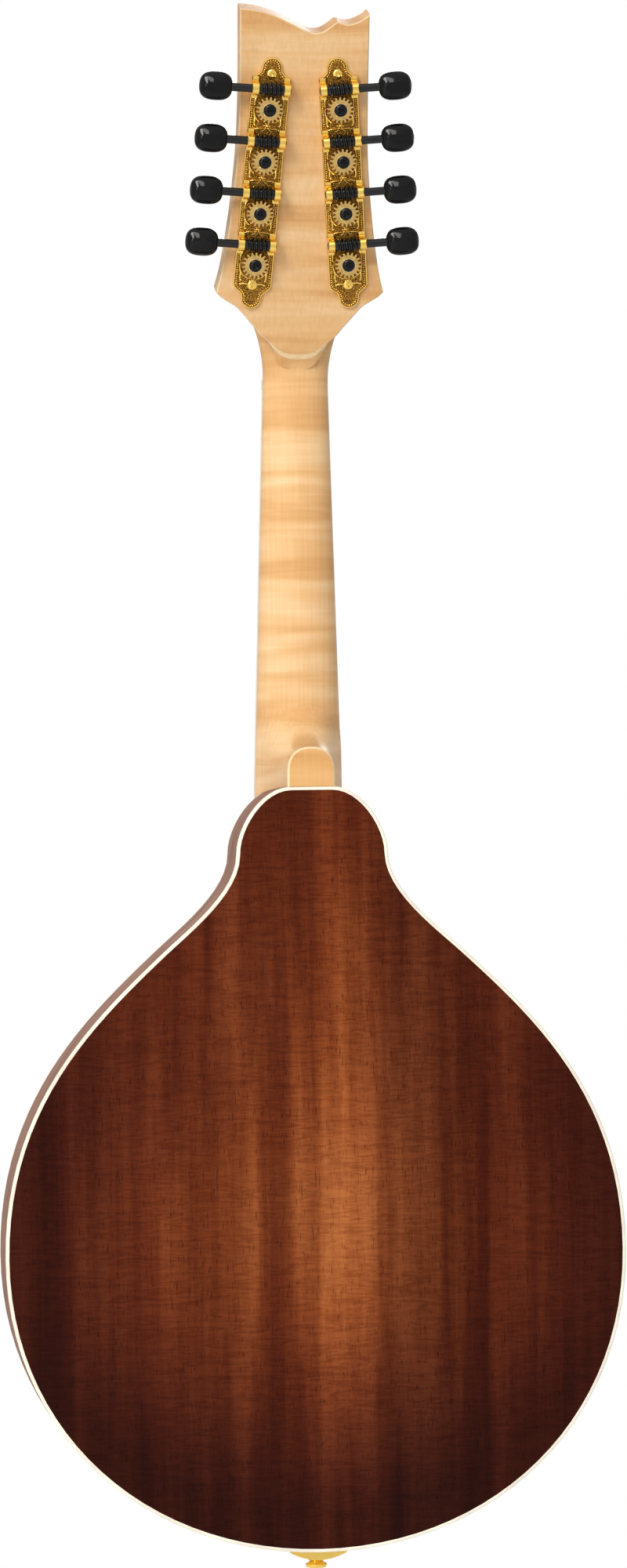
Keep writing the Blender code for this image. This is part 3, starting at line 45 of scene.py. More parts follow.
# The camera, fitted to the photograph's frame of 800 by 2000 pixels
FRAME_HEIGHT = 2000.0
FOCAL_PIXELS = 7666.45
CAMERA_PLACE = (-0.27875, -2.63933, -0.21421)
CAMERA_YAW = -0.1069
CAMERA_PITCH = 0.00578
CAMERA_ROLL = 0.01322

# Body, as in the part's source
BODY_LENGTH = 333.8 * MM
HALF_WIDTH = 136.0 * MM
WIDEST_HEIGHT = 129.9 * MM
TAIL_REACH = 76.5 * MM
LOWER_REACH = 76.0 * MM
UPPER_REACH = 66.5 * MM
WAIST = (65.1 * MM, 262.7 * MM)
WAIST_ANGLE = math.radians(137.3)
WAIST_REACH_BELOW = 44.6 * MM
WAIST_REACH_ABOVE = 13.8 * MM
NOSE = (33.2 * MM, 304.5 * MM)
NOSE_REACH_BELOW = 16.0 * MM
NOSE_REACH_ABOVE = 12.0 * MM
NOSE_FLAT_HALF = 9.0 * MM
NOSE_CORNER_REACH = 13.0 * MM
RIM_DEPTH = 40.0 * MM
SIDE_THICKNESS = 2.4 * MM
LINING_WIDTH = 5.0 * MM
LINING_DEPTH = 8.0 * MM
PLATE_EDGE = 2.5 * MM
BINDING_WIDTH = 1.5 * MM
BINDING_ROUNDING = 0.6 * MM
BACK_RISE = 8.0 * MM
TOP_RISE = 13.0 * MM
PLATE_THICKENING = 1.5 * MM
ARCH_CENTRE = 150.0 * MM
ARCH_SHARPNESS = 0.85
TOP_FACE = RIM_DEPTH + FIT + PLATE_EDGE
BACK_FACE = -FIT - PLATE_EDGE

# Sound holes
HOLE_EYES = ((52.0 * MM, 197.0 * MM), (77.0 * MM, 124.0 * MM))
HOLE_EYE_RADII = (4.0 * MM, 4.8 * MM)
HOLE_HALF_WIDTH = 3.6 * MM
HOLE_TIP_HALF_WIDTH = 1.3 * MM

# Neck and headstock
NUT_HEIGHT = 510.0 * MM
NUT_DEPTH = 43.8 * MM
NECK_ANGLE = math.radians(3.0)
SCALE_LENGTH = 352.4 * MM
NUT_HALF_WIDTH = 14.5 * MM
NUT_LENGTH = 5.0 * MM
NECK_TAPER = 0.0275
NECK_ROUND_AT_NUT = 11.9 * MM
NECK_ROUND_AT_BODY = 17.0 * MM
NECK_INSIDE = 12.0 * MM
BOARD_THICKNESS = 5.0 * MM
BOARD_OVERHANG = 8.0 * MM
BOARD_EDGING = 1.2 * MM
FRET_COUNT = 20
FRET_HEIGHT = 1.0 * MM
FRET_HALF_WIDTH = 0.95 * MM
DOT_RADIUS = 2.4 * MM
DOTS = ((5, 0.0), (7, 0.0), (10, 0.0), (12, -7 * MM), (12, 7 * MM), (15, 0.0))
TONGUE_THICKNESS = 5.0 * MM
TONGUE_INSET = 2.0 * MM
TONGUE_SHORTFALL = 8.0 * MM
HEEL_CAP_HALF_WIDTH = 10.4 * MM
HEEL_CAP_LENGTH = 17.3 * MM
HEEL_TOP_HALF_WIDTH = 18.8 * MM
HEEL_TOP_LENGTH = 58.0 * MM
HEEL_TOP_DEPTH = 47.0 * MM
HEEL_CHAMFER = 0.8 * MM
HEEL_ROWS = 28
HEAD_ANGLE = math.radians(15.5)
HEAD_LENGTH = 168.3 * MM
HEAD_HALF_WIDTH = 36.9 * MM
HEAD_THICKNESS = 12.2 * MM
HEAD_CHAMFER = 0.5 * MM
HEAD_CORNERS = (11, 17, 31, 37)
VENEER_THICKNESS = 1.6 * MM
VENEER_INSET = 0.6 * MM
SCOOP_DEPTH = 1.9 * MM
SCOOP_RUN = 7.0 * MM
FLARE_RUN = 29.0 * MM
FLARE_HALF_WIDTH = 21.6 * MM
FLARE_DEEPENING = 2.4 * MM
BUSHING_HEIGHT = 1.2 * MM
HANGER_HEIGHT = 22.0 * MM
VENEER_FACE = FIT + VENEER_THICKNESS
BOARD_FACE = FIT + BOARD_THICKNESS
BOARD_LENGTH = SCALE_LENGTH * (1 - 2 ** (-FRET_COUNT / 12)) + BOARD_OVERHANG

# Tuners
POST_COUNT = 4
POST_PITCH = 23.06 * MM
POST_MIDDLE = 90.4 * MM
POST_HALF_SPACING = 18.0 * MM
PLATE_LEAN = math.radians(4.17)
PLATE_HALF_WIDTH = 8.4 * MM
PLATE_TOP = 56.6 * MM
PLATE_BOTTOM = 55.0 * MM
PLATE_LOBE_RADIUS = 4.3 * MM
PLATE_END_LENGTH = 10.5 * MM
PLATE_FACE = 1.5 * MM
PLATE_FIELD = 1.0 * MM
PLATE_SCREWS = (49.4 * MM, -44.6 * MM)
PLATE_SCREW = (2.15 * MM, 0.8 * MM, 0.55 * MM)
GEAR_SCREW = (2.75 * MM, 1.5 * MM, 0.8 * MM)
BEAD_INSET = 1.15 * MM
BEAD_STEP = 1.0 * MM
BEAD = (0.37 * MM, 0.42 * MM)
ROSETTE_DROP = 8.1 * MM
ROSETTE_RADIUS = 1.15 * MM
ROSETTE_PETALS = 6
ROSETTE_PETAL = (0.42 * MM, 0.35 * MM)
ROSETTE_BOSS = (0.85 * MM, 0.6 * MM)
LUG_THICKNESS = 3.1 * MM
LUG_HALF_FOOT = 4.8 * MM
LUG_FOOT_HEIGHT = 1.3 * MM
LUG_BARREL_RADIUS = 2.9 * MM
WORM_HEIGHT = 5.4 * MM
WORM_OFFSET = 8.9 * MM
WORM_CREST_RADIUS = 3.45 * MM
WORM_ROOT_RADIUS = 2.35 * MM
WORM_PITCH = 1.95 * MM
WORM_TURNS = 4.6
GEAR_TEETH = 18
GEAR_TIP_RADIUS = 5.95 * MM
GEAR_ROOT_RADIUS = 4.75 * MM
GEAR_FLOOR = 4.2 * MM
GEAR_FACE = 6.6 * MM
SHAFT_RADIUS = 1.85 * MM
SHAFT_FREE_LENGTH = 8.7 * MM
BUTTON_LENGTH = 14.5 * MM
BUTTON_HALF_HEIGHT = 6.3 * MM
BUTTON_HALF_THICKNESS = 3.8 * MM
BUTTON_SQUARENESS = 2.7
POST_RADIUS = 3.0 * MM
POST_WAIST_RADIUS = 2.4 * MM
POST_STAND = 8.4 * MM
POST_EYE_RADIUS = 0.7 * MM
POST_EYE_DROP = 2.2 * MM
WASHER_RADII = (2.7 * MM, 3.15 * MM)
FERRULE_RADII = (4.4 * MM, 5.0 * MM)
WINDING_START = 1.0 * MM
WINDING_HEIGHT = 2.6 * MM
WINDING_RADIUS = 3.7 * MM

# Strings, bass to treble
STRING_RADII = (0.48 * MM, 0.33 * MM, 0.19 * MM, 0.14 * MM)
STRING_COUNT = 8
WOUND_COURSES = 2
WOUND_RIDGE = 0.35 * MM
NUT_SLOT_DEPTH = 0.5 * MM
COURSE_SPACING_AT_NUT = 7.2 * MM
PAIR_SPACING_AT_NUT = 2.0 * MM
COURSE_SPACING_AT_BRIDGE = 11.9 * MM
PAIR_SPACING_AT_BRIDGE = 2.6 * MM
HOOK_SPACING = 4.0 * MM
STRING_FLOOR_AT_NUT = BOARD_FACE + FRET_HEIGHT + 0.5 * MM
STRING_FLOOR_AT_BRIDGE = STRING_FLOOR_AT_NUT + 2.4 * MM
STRING_FALL_OVER_NUT = NUT_LENGTH * math.tan(HEAD_ANGLE) * 0.5

# Bridge, tailpiece and end pin
STUD_SPACING = 60.0 * MM
STUD_RADIUS = 1.5 * MM
STUD_PITCH = 0.5 * MM
STUD_SOCKET_DEPTH = 3.2 * MM
WHEEL_RADIUS = 6.0 * MM
WHEEL_THICKNESS = 2.0 * MM
WHEEL_KNURLS = 60
SADDLE_TRAVEL = 2.0 * MM
SADDLE_HALF_LENGTH = 40.0 * MM
SADDLE_LOW_HEIGHT = 3.6 * MM
SADDLE_HALF_WIDTH = 2.7 * MM
CREST_HALF_WIDTH = 1.3 * MM
BASE_HALF_LENGTH = 50.0 * MM
BASE_WIDTH = 9.0 * MM
BASE_TOP = 4.6 * MM
BASE_END = 2.6 * MM
TAILPIECE_SLOPE = math.radians(4.0)
TAILPIECE_METAL = 1.2 * MM
TAILPIECE_SWELL = 4.4 * MM
TAILPIECE_LEG_HALF_WIDTH = 12.3 * MM
TAILPIECE_LEG_LENGTH = 36.0 * MM
TAILPIECE_HALF_WIDTH = 19.5 * MM
TAILPIECE_LENGTH = 40.0 * MM
HOOK_PLACE = 30.0 * MM
HOOK_WIDTH = 1.6 * MM
HOOK_WIRE_RADIUS = 0.5 * MM
COVER_METAL = 1.0 * MM
COVER_HALF_WIDTH = 22.5 * MM
COVER_LENGTH = 62.0 * MM
COVER_OVERHANG = 2.0 * MM
COVER_TAIL_HEIGHT = 4.6 * MM
COVER_FRONT_HEIGHT = 10.5 * MM
COVER_STAMPING = 0.4 * MM
COVER_ROWS = 60
COVER_COLUMNS = 80
PIN_HEIGHT = 20.0 * MM
PIN_HEAD_RADIUS = 4.7 * MM
PIN_LENGTH = 4.3 * MM
PIN_SHANK_RADIUS = 2.2 * MM

# Light: each lamp's place, target, size, watts and colour
LAMPS = {
    "key": ((-1.3, -1.9, 1.2), (0.0, 0.0, -0.1), (0.7, 0.7), 27.0, (1.0, 0.97, 0.92)),
    "strip": ((-1.3, -1.9, -0.1), (0.0, 0.0, -0.2), (0.3, 1.4), 7.0, (1.0, 1.0, 1.0)),
    "top": ((-0.6, -1.7, 1.3), (0.0, 0.0, -0.1), (1.2, 0.5), 14.0, (1.0, 0.98, 0.95)),
    "front": ((0.5, 2.0, 0.7), (0.0, 0.0, -0.2), (0.9, 0.9), 18.0, (1.0, 1.0, 1.0)),
}
SKY_STRENGTH = 0.45
FLOOR_LEVEL = -0.8
FLOOR_HALF = 1.5


# Frames

def turn(angle, axis):
    return Matrix.Rotation(angle, 4, axis)


def shift(x, y, z):
    return Matrix.Translation((x, y, z))


NECK_IN_BODY = shift(0, NUT_DEPTH, NUT_HEIGHT) @ turn(NECK_ANGLE, "X")
HEAD_IN_BODY = NECK_IN_BODY @ shift(0, 0, NUT_LENGTH) @ turn(HEAD_ANGLE, "X")
TAIL_IN_BODY = shift(0, TOP_FACE + FIT, 0) @ turn(-TAILPIECE_SLOPE, "X")
HANGER = HEAD_IN_BODY @ Vector((0, -HEAD_THICKNESS / 2, HANGER_HEIGHT))
BODY = Matrix.Translation(-HANGER)
NECK = BODY @ NECK_IN_BODY
HEAD = BODY @ HEAD_IN_BODY
TAIL = BODY @ TAIL_IN_BODY
ALONG_X = turn(math.pi / 2, "Y")
ALONG_Y = turn(-math.pi / 2, "X")
AGAINST_Y = turn(math.pi / 2, "X")


def tuner_frame(side):
    place = shift(side * POST_HALF_SPACING, -HEAD_THICKNESS, POST_MIDDLE)
    return HEAD @ place @ turn(-side * PLATE_LEAN, "Y") @ AGAINST_Y


def along_plate(k):
    return (POST_COUNT / 2 - 0.5 - k) * POST_PITCH


def hook_across(number):
    return (STRING_COUNT / 2 - 0.5 - number) * HOOK_SPACING


def bridge_point():
    """Where the strings' undersides cross the saddle: depth and height in the body's frame."""
    spot = NECK_IN_BODY @ Vector((0.0, STRING_FLOOR_AT_BRIDGE, -SCALE_LENGTH))
    return spot.y, spot.z


# Mesh helpers

def between(low, high, share):
    return low + (high - low) * share


def mirrored(right):
    """An outline's right half, with its left half after it."""
    return right + [(-x, z) for x, z in reversed(right)]


def bezier(start, start_handle, end_handle, end, steps):
    flat = [Vector((*point, 0.0)) for point in (start, start_handle, end_handle, end)]
    return [(p.x, p.y) for p in interpolate_bezier(*flat, steps + 1)]


def inset(outline, distance):
    """Move a closed outline, which runs anticlockwise, inwards by a distance."""
    result = []
    count = len(outline)
    for i, point in enumerate(outline):
        before = Vector(outline[i]) - Vector(outline[i - 1])
        after = Vector(outline[(i + 1) % count]) - Vector(outline[i])
        first = Vector((-before.y, before.x)).normalized()
        second = Vector((-after.y, after.x)).normalized()
        middle = (first + second).normalized()
        moved = Vector(point) + middle * (distance / max(0.5, middle.dot(first)))
        result.append((moved.x, moved.y))
    return result


def smooth_loop(points, corners, steps=5):
    """Round a closed outline through its points, except at the numbered corners."""
    count = len(points)
    result = []
    for i in range(count):
        p1, p2 = Vector(points[i]), Vector(points[(i + 1) % count])
        p0 = p1 * 2 - p2 if i in corners else Vector(points[i - 1])
        p3 = p2 * 2 - p1 if (i + 1) % count in corners else Vector(points[(i + 2) % count])
        for step in range(steps):
            t = step / steps
            spot = p1 * 2 + (p2 - p0) * t + (p0 * 2 - p1 * 5 + p2 * 4 - p3) * t**2
            spot = (spot + (p1 * 3 - p0 - p2 * 3 + p3) * t**3) * 0.5
            result.append((spot.x, spot.y))
    return result


def lift(outline, depth):
    return [(x, depth, z) for x, z in outline]


def polar(radius, angle):
    return radius * math.cos(angle), radius * math.sin(angle)


def circle(radius, steps, level):
    return [(*polar(radius, 2 * math.pi * i / steps), level) for i in range(steps)]


def add_loft(build, rings, closed=False, tips=False):
    """Skin a row of rings with as many points each. The ends get a face, or a point in the middle."""
    rows = [[build.verts.new(point) for point in ring] for ring in rings]
    for low, high in zip(rows, rows[1:] + rows[:1] if closed else rows[1:]):
        for i in range(len(low)):
            j = (i + 1) % len(low)
            build.faces.new((low[i], low[j], high[j], high[i]))
    if closed:
        return
    for row in (rows[0], rows[-1]):
        if tips:
            middle = build.verts.new(sum((v.co for v in row), Vector()) / len(row))
            for i in range(len(row)):
                build.faces.new((row[i], row[(i + 1) % len(row)], middle))
        else:
            build.faces.new(row)


def finish_mesh(name, build):
    bmesh.ops.recalc_face_normals(build, faces=build.faces)
    data = bpy.data.meshes.new(name)
    build.to_mesh(data)
    build.free()
    return data


def loft(name, rings, **options):
    build = bmesh.new()
    add_loft(build, rings, **options)
    return finish_mesh(name, build)


def add_prism(build, outline, vector):
    add_loft(build, [outline, [Vector(point) + Vector(vector) for point in outline]])


def add_lathe(build, profile, steps, matrix=Matrix.Identity(4), closed=False):
    """Turn a half section of radius and height about Z. A radius of 0 closes an end."""
    rows = []
    for radius, height in profile:
        points = circle(radius, steps, height) if radius else [(0.0, 0.0, height)]
        rows.append([build.verts.new(matrix @ Vector(point)) for point in points])
    for low, high in zip(rows, rows[1:] + rows[:1] if closed else rows[1:]):
        for i in range(steps):
            j = (i + 1) % steps
            corners = [low[i % len(low)], low[j % len(low)], high[j % len(high)], high[i % len(high)]]
            distinct = list(dict.fromkeys(corners))
            if len(distinct) > 2:
                build.faces.new(distinct)
    if not closed and profile[0][0] and profile[-1][0]:
        for row in (rows[0], rows[-1]):
            build.faces.new(row)


def lathe(name, *shape, **options):
    build = bmesh.new()
    add_lathe(build, *shape, **options)
    return finish_mesh(name, build)


def rod(radius, low, high):
    return [(radius, low), (radius, high)]


def add_tube(build, path, radii, sides=8):
    """A tube along points, whose radius may change."""
    rings = []
    last = len(path) - 1
    if not isinstance(radii, list):
        radii = [radii] * len(path)
    normal = None
    for i, point in enumerate(path):
        along = (Vector(path[min(last, i + 1)]) - Vector(path[max(0, i - 1)])).normalized()
        if normal is None:
            normal = along.orthogonal().normalized()
        normal = (normal - along * normal.dot(along)).normalized()
        other = along.cross(normal)
        rings.append([Vector(point) + normal * x + other * y for x, y, _ in circle(radii[i], sides, 0.0)])
    add_loft(build, rings)


def carve(data, *steps):
    """Join or cut a mesh with others in the same space, each given with its operation."""
    thing = bpy.data.objects.new("blank", data)
    bpy.context.scene.collection.objects.link(thing)
    helpers = []
    for operation, other in steps:
        helper = bpy.data.objects.new("helper", other)
        bpy.context.scene.collection.objects.link(helper)
        helpers.append(helper)
        change = thing.modifiers.new(operation, "BOOLEAN")
        change.operation = operation
        change.solver = "EXACT"
        change.object = helper
    result = bpy.data.meshes.new_from_object(thing.evaluated_get(bpy.context.evaluated_depsgraph_get()))
    for item in [thing] + helpers:
        bpy.data.objects.remove(item)
    return result


def piece(name, shape, matrix, *materials, body="instrument", crease=35):
    """A shown piece that rides on a body, and stands for the CAD node of its name where there is one."""
    data = finish_mesh(name, shape) if isinstance(shape, bmesh.types.BMesh) else shape
    thing = bpy.data.objects.new(f"{name}_shown", data)
    bpy.context.scene.collection.objects.link(thing)
    thing.matrix_world = matrix
    if not data.materials:
        for material in materials:
            data.materials.append(material)
        data.shade_smooth()
        data.set_sharp_from_angle(angle=math.radians(crease))
    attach(thing, body)
    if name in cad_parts:
        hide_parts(name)


def keep(node, material):
    """Dress a CAD node whose shape is kept."""
    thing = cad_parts[node]
    thing.data.materials.clear()
    thing.data.materials.append(material)


# Shader helpers

def new_material(name, **values):
    material = bpy.data.materials.new(name)
    material.use_nodes = True
    shader = material.node_tree.nodes["Principled BSDF"]
    for key, value in values.items():
        shader.inputs[key.replace("_", " ")].default_value = value
    return material


def add_node(owner, kind, inputs=None, **settings):
    """A node of a material or of the world, with its settings, its values and its links."""
    made = owner.node_tree.nodes.new(kind)
    for key, value in settings.items():
        setattr(made, key, value)
    for key, value in (inputs or {}).items():
        if isinstance(value, bpy.types.NodeSocket):
            owner.node_tree.links.new(value, made.inputs[key])
        else:
            made.inputs[key].default_value = value
    return made


def place_texture(material, scale):
    """The piece's own coordinates, stretched."""
    where = add_node(material, "ShaderNodeTexCoord").outputs["Object"]
    return add_node(material, "ShaderNodeMapping", {"Vector": where, "Scale": scale}).outputs["Vector"]


def noise(material, scale, detail=3.0, roughness=0.5, distortion=0.0):
    inputs = {"Vector": place_texture(material, scale), "Scale": 1.0, "Detail": detail}
    inputs.update({"Roughness": roughness, "Distortion": distortion})
    return add_node(material, "ShaderNodeTexNoise", inputs).outputs["Fac"]


def attribute(material, name):
    return add_node(material, "ShaderNodeAttribute", attribute_name=name).outputs["Fac"]


def axis_value(material, axis):
    where = add_node(material, "ShaderNodeTexCoord").outputs["Object"]
    return add_node(material, "ShaderNodeSeparateXYZ", {0: where}).outputs[axis]


def ramp(material, factor, *stops):
    made = add_node(material, "ShaderNodeValToRGB", {"Fac": factor})
    slots = made.color_ramp.elements
    while len(slots) < len(stops):
        slots.new(0.5)
    for slot, (position, colour) in zip(slots, stops):
        slot.position = position
        slot.color = (*colour, 1.0)
    return made.outputs["Color"]


def mix(material, factor, first, second, blend="MULTIPLY"):
    inputs = {0: factor}
    for key, colour in ((6, first), (7, second)):
        inputs[key] = (*colour, 1.0) if isinstance(colour, tuple) else colour
    return add_node(material, "ShaderNodeMix", inputs, data_type="RGBA", blend_type=blend).outputs[2]


def calculate(owner, first, second=0.5, operation="MULTIPLY", clamp=False):
    inputs = {0: first, 1: second}
    return add_node(owner, "ShaderNodeMath", inputs, operation=operation, use_clamp=clamp).outputs[0]


def span(owner, value, low, high, out_low=0.0, out_high=1.0, curve="SMOOTHSTEP"):
    inputs = {"Value": value, "From Min": low, "From Max": high, "To Min": out_low, "To Max": out_high}
    return add_node(owner, "ShaderNodeMapRange", inputs, interpolation_type=curve).outputs["Result"]


def paint(material, colour, roughness=None, bump=None, strength=0.2, distance=0.0002):
    shader = material.node_tree.nodes["Principled BSDF"]
    links = material.node_tree.links
    links.new(colour, shader.inputs["Base Color"])
    if roughness is not None:
        links.new(roughness, shader.inputs["Roughness"])
    if bump is not None:
        inputs = {"Height": bump, "Strength": strength, "Distance": distance}
        links.new(add_node(material, "ShaderNodeBump", inputs).outputs["Normal"], shader.inputs["Normal"])
    return material


def srgb(red, green, blue):
    """A colour as read off a picture, turned into light values."""
    return tuple(((level / 255 + 0.055) / 1.055) ** 2.4 for level in (red, green, blue))


def scaled(colour, factor, added=0.0):
    return tuple(min(1.0, value * factor + added) for value in colour)


def streaks(material, colour, *layers):
    """Darken a colour by layers of stretched noise, each between two levels of it."""
    for scale, strength, low, high, tint, detail, distortion in layers:
        grain = noise(material, scale, detail, 0.6, distortion)
        colour = mix(material, strength, colour, ramp(material, grain, (low, tint), (high, (1.0, 1.0, 1.0))))
    return colour


# Materials

GOLD_TONE = srgb(255, 214, 112)


def make_maple(name, dark, middle, pale):
    """Flamed maple, with painted shade that makes the headstock a little darker, and a little duller on end
    grain.
    """
    material = new_material(name, Roughness=0.42, Specular_IOR_Level=0.18)
    flame = noise(material, (11, 11, 88), 2.0, 0.5, 0.5)
    colour = streaks(
        material, ramp(material, flame, (0.36, dark), (0.5, middle), (0.64, pale)),
        ((18, 18, 300), 0.35, 0.35, 0.6, (0.86, 0.78, 0.66), 2.0, 0.8),
        ((26, 26, 6), 0.5, 0.3, 0.6, (0.9, 0.82, 0.7), 2.0, 0.0),
        ((700, 700, 24), 0.25, 0.35, 0.6, (0.8, 0.68, 0.54), 3.0, 0.0),
    )
    # Painted shade on the headstock: a little darker past the nut.
    head = span(material, axis_value(material, 2), 508 * MM, 530 * MM)
    colour = mix(material, head, colour, (0.86, 0.84, 0.81))
    normal = add_node(material, "ShaderNodeNewGeometry").outputs["Normal"]
    upright = add_node(material, "ShaderNodeSeparateXYZ", {0: normal}).outputs["Z"]
    end_grain = span(material, calculate(material, upright, operation="ABSOLUTE"), 0.75, 0.9)
    colour = mix(material, end_grain, colour, (0.8, 0.72, 0.62))
    height = noise(material, (900, 900, 60), 2.0)
    return paint(material, colour, bump=height, strength=0.05, distance=0.0001)


def make_back_wood(name):
    """Ribbon-grained mahogany under a dark stain, paler in the middle and in one band beside it, and darker
    towards the edge, partly as a stain burst and partly as painted shade that is deeper towards the bottom
    and weaker near the top.
    """
    material = new_material(name, Roughness=0.36, Specular_IOR_Level=0.07)
    ribbon = noise(material, (70, 70, 2.2), 3.0, 0.6, 0.25)
    dark, middle, pale = (0.2, 0.045, 0.014), (0.29, 0.077, 0.022), (0.4, 0.125, 0.038)
    colour = streaks(
        material, ramp(material, ribbon, (0.32, dark), (0.48, middle), (0.64, pale)),
        ((34, 34, 1.2), 0.75, 0.42, 0.56, (0.66, 0.58, 0.53), 2.0, 0.25),
        ((420, 420, 9), 0.4, 0.35, 0.6, (0.62, 0.52, 0.46), 3.0, 0.0),
        ((60, 60, 420), 0.75, 0.36, 0.6, (0.6, 0.48, 0.42), 3.5, 1.8),
        ((2100, 2100, 190), 0.75, 0.3, 0.38, (0.4, 0.28, 0.23), 1.0, 0.0),
    )
    across, height = axis_value(material, 0), axis_value(material, 2)
    for start, full, end, fade, strength, tint in (
        (-3, 2, 22, 16, 0.75, (1.28, 1.34, 1.3)),
        (20, 36, 84, 50, 0.8, (0.62, 0.62, 0.66)),
    ):
        band = calculate(material, span(material, across, start * MM, full * MM),
                         span(material, across, end * MM, fade * MM))
        colour = mix(material, calculate(material, band, strength), colour, tint)
    # Painted shade: the darkening towards the edge, partly a stain burst, is strengthened towards the bottom
    # and weakened near the top.
    reach = attribute(material, "edge")
    for start, end, first, last in ((170, 270, 1.0, 0.62), (20, 130, 1.12, 1.0)):
        reach = calculate(material, reach, span(material, height, start * MM, end * MM, first, last))
    shade = ramp(
        material, reach, (0.1, (1.06, 1.05, 1.0)), (0.3, (0.84, 0.72, 0.66)), (0.56, (0.5, 0.36, 0.36)),
        (0.87, (0.23, 0.14, 0.19)), (1.0, (0.15, 0.085, 0.12)),
    )
    relief = noise(material, (1500, 1500, 70), 2.0)
    return paint(material, mix(material, 1.0, colour, shade), bump=relief, strength=0.06, distance=0.0001)


def make_side_wood(name):
    material = new_material(name, Roughness=0.55, Specular_IOR_Level=0.08)
    grain = noise(material, (30, 240, 30), 4.0, 0.6, 0.4)
    tones = ((0.3, srgb(124, 84, 68)), (0.5, srgb(150, 110, 92)), (0.68, srgb(168, 128, 110)))
    pores = ((60, 1500, 60), 0.7, 0.3, 0.38, (0.5, 0.38, 0.32), 1.0, 0.0)
    return paint(material, streaks(material, ramp(material, grain, *tones), pores))


def make_spruce(name):
    """Spruce with upright rings, stained darker towards the edge."""
    material = new_material(name, Roughness=0.4, Specular_IOR_Level=0.3)
    rings = noise(material, (800, 60, 2.5), 1.5, 0.5, 0.1)
    tones = ((0.3, srgb(206, 136, 66)), (0.5, srgb(230, 170, 94)), (0.7, srgb(240, 190, 120)))
    clouds = ((26, 26, 5), 0.5, 0.3, 0.6, (0.86, 0.76, 0.64), 2.0, 0.0)
    colour = streaks(material, ramp(material, rings, *tones), clouds)
    stain = ((0.45, (1.0, 1.0, 1.0)), (0.75, (0.66, 0.42, 0.28)), (1.0, (0.16, 0.06, 0.035)))
    return paint(material, mix(material, 0.9, colour, ramp(material, attribute(material, "edge"), *stain)))


def make_rosewood(name, low, high):
    material = new_material(name, Roughness=0.5, Specular_IOR_Level=0.25)
    grain = noise(material, (260, 260, 9), 4.0, 0.65, 0.5)
    pores = ((1700, 1700, 80), 0.8, 0.3, 0.38, (0.3, 0.22, 0.2), 1.0, 0.0)
    colour = streaks(material, ramp(material, grain, (0.3, low), (0.7, high)), pores)
    return paint(material, colour, bump=grain, strength=0.1, distance=0.0001)


def make_plain_wood(name, colour):
    material = new_material(name, Roughness=0.6, Specular_IOR_Level=0.3)
    grain = noise(material, (500, 500, 12))
    return paint(material, ramp(material, grain, (0.3, colour), (0.7, scaled(colour, 1.3))))


def make_metal(name, colour, roughness, worn, size=260):
    """Plated or cut metal with faint dull patches and fine scratches."""
    material = new_material(name, Metallic=1.0)
    patch = noise(material, (size, size, size), 4.0, 0.6)
    shade = ramp(material, patch, (0.3, scaled(colour, worn)), (0.6, colour))
    rough = span(material, patch, 0.3, 0.7, roughness * 1.5, roughness * 0.8)
    return paint(material, shade, rough, noise(material, (1800, 1800, 1800), 2.0), 0.05, 0.00005)


def make_gloss(name, colour, roughness, size=320, shine=0.25):
    """Lacquer or moulded plastic, which has faint ripples and varies a little in tone."""
    material = new_material(name, Specular_IOR_Level=shine)
    patch = noise(material, (size, size, size))
    rough = span(material, patch, 0.3, 0.7, roughness * 1.3, roughness * 0.8)
    tone = ramp(material, patch, (0.35, colour), (0.65, scaled(colour, 1.2, 0.001)))
    return paint(material, tone, rough, patch, 0.03, 0.0001)


def make_stipple(name, masked=False):
    """The dark hammered ground of the stamped plates, everywhere or only where the metal is sunk."""
    material = new_material(name, Metallic=1.0, Roughness=0.4)
    where = place_texture(material, (2500, 2500, 2500))
    cells = add_node(material, "ShaderNodeTexVoronoi", {"Vector": where, "Scale": 1.0}).outputs["Distance"]
    colour = ramp(material, cells, (0.08, GOLD_TONE), (0.3, srgb(186, 134, 54)), (0.65, srgb(78, 46, 15)))
    if masked:
        sunk = span(material, attribute(material, "ground"), 0.4, 0.6)
        colour = mix(material, sunk, GOLD_TONE, colour, "MIX")
        cells = calculate(material, cells, sunk)
    return paint(material, colour, bump=cells, strength=0.7, distance=0.0003)


MAPLE = make_maple("flamed_maple", (0.8, 0.46, 0.2), (0.9, 0.57, 0.28), (0.95, 0.66, 0.37))
HEEL_CAP = make_maple("heel_cap", (0.74, 0.41, 0.16), (0.81, 0.46, 0.18), (0.85, 0.51, 0.22))
# Paler maple for the chamfers of the heel and the headstock: a painted highlight where their edges catch the
# light.
PAINTED_CHAMFER_HIGHLIGHT = make_maple("painted_chamfer_highlight", (0.93, 0.7, 0.42), (0.95, 0.75, 0.48), (0.96, 0.79, 0.54))
BACK_WOOD = make_back_wood("ribbon_mahogany")
SIDE_WOOD = make_side_wood("side_mahogany")
SPRUCE = make_spruce("spruce")
CREAM = make_gloss("cream_binding", (0.87, 0.79, 0.66), 0.4, 60, 0.15)
BOARD_WOOD = make_rosewood("board_rosewood", srgb(38, 22, 16), srgb(74, 44, 30))
BRIDGE_WOOD = make_rosewood("bridge_rosewood", srgb(44, 24, 17), srgb(84, 50, 34))
BLOCK_WOOD = make_plain_wood("block_wood", srgb(196, 160, 112))
GOLD = make_metal("gold", GOLD_TONE, 0.17, 0.93, 420)
FIELD = make_stipple("stippled_gold")
STAMPED_GOLD = make_stipple("stamped_gold", True)
BRASS = make_metal("dull_brass", srgb(222, 184, 112), 0.3, 0.75, 700)
BRIGHT_BRASS = make_metal("bright_brass", srgb(244, 216, 158), 0.18, 0.85)
FRET_METAL = make_metal("fret_metal", srgb(206, 204, 198), 0.22, 0.85)
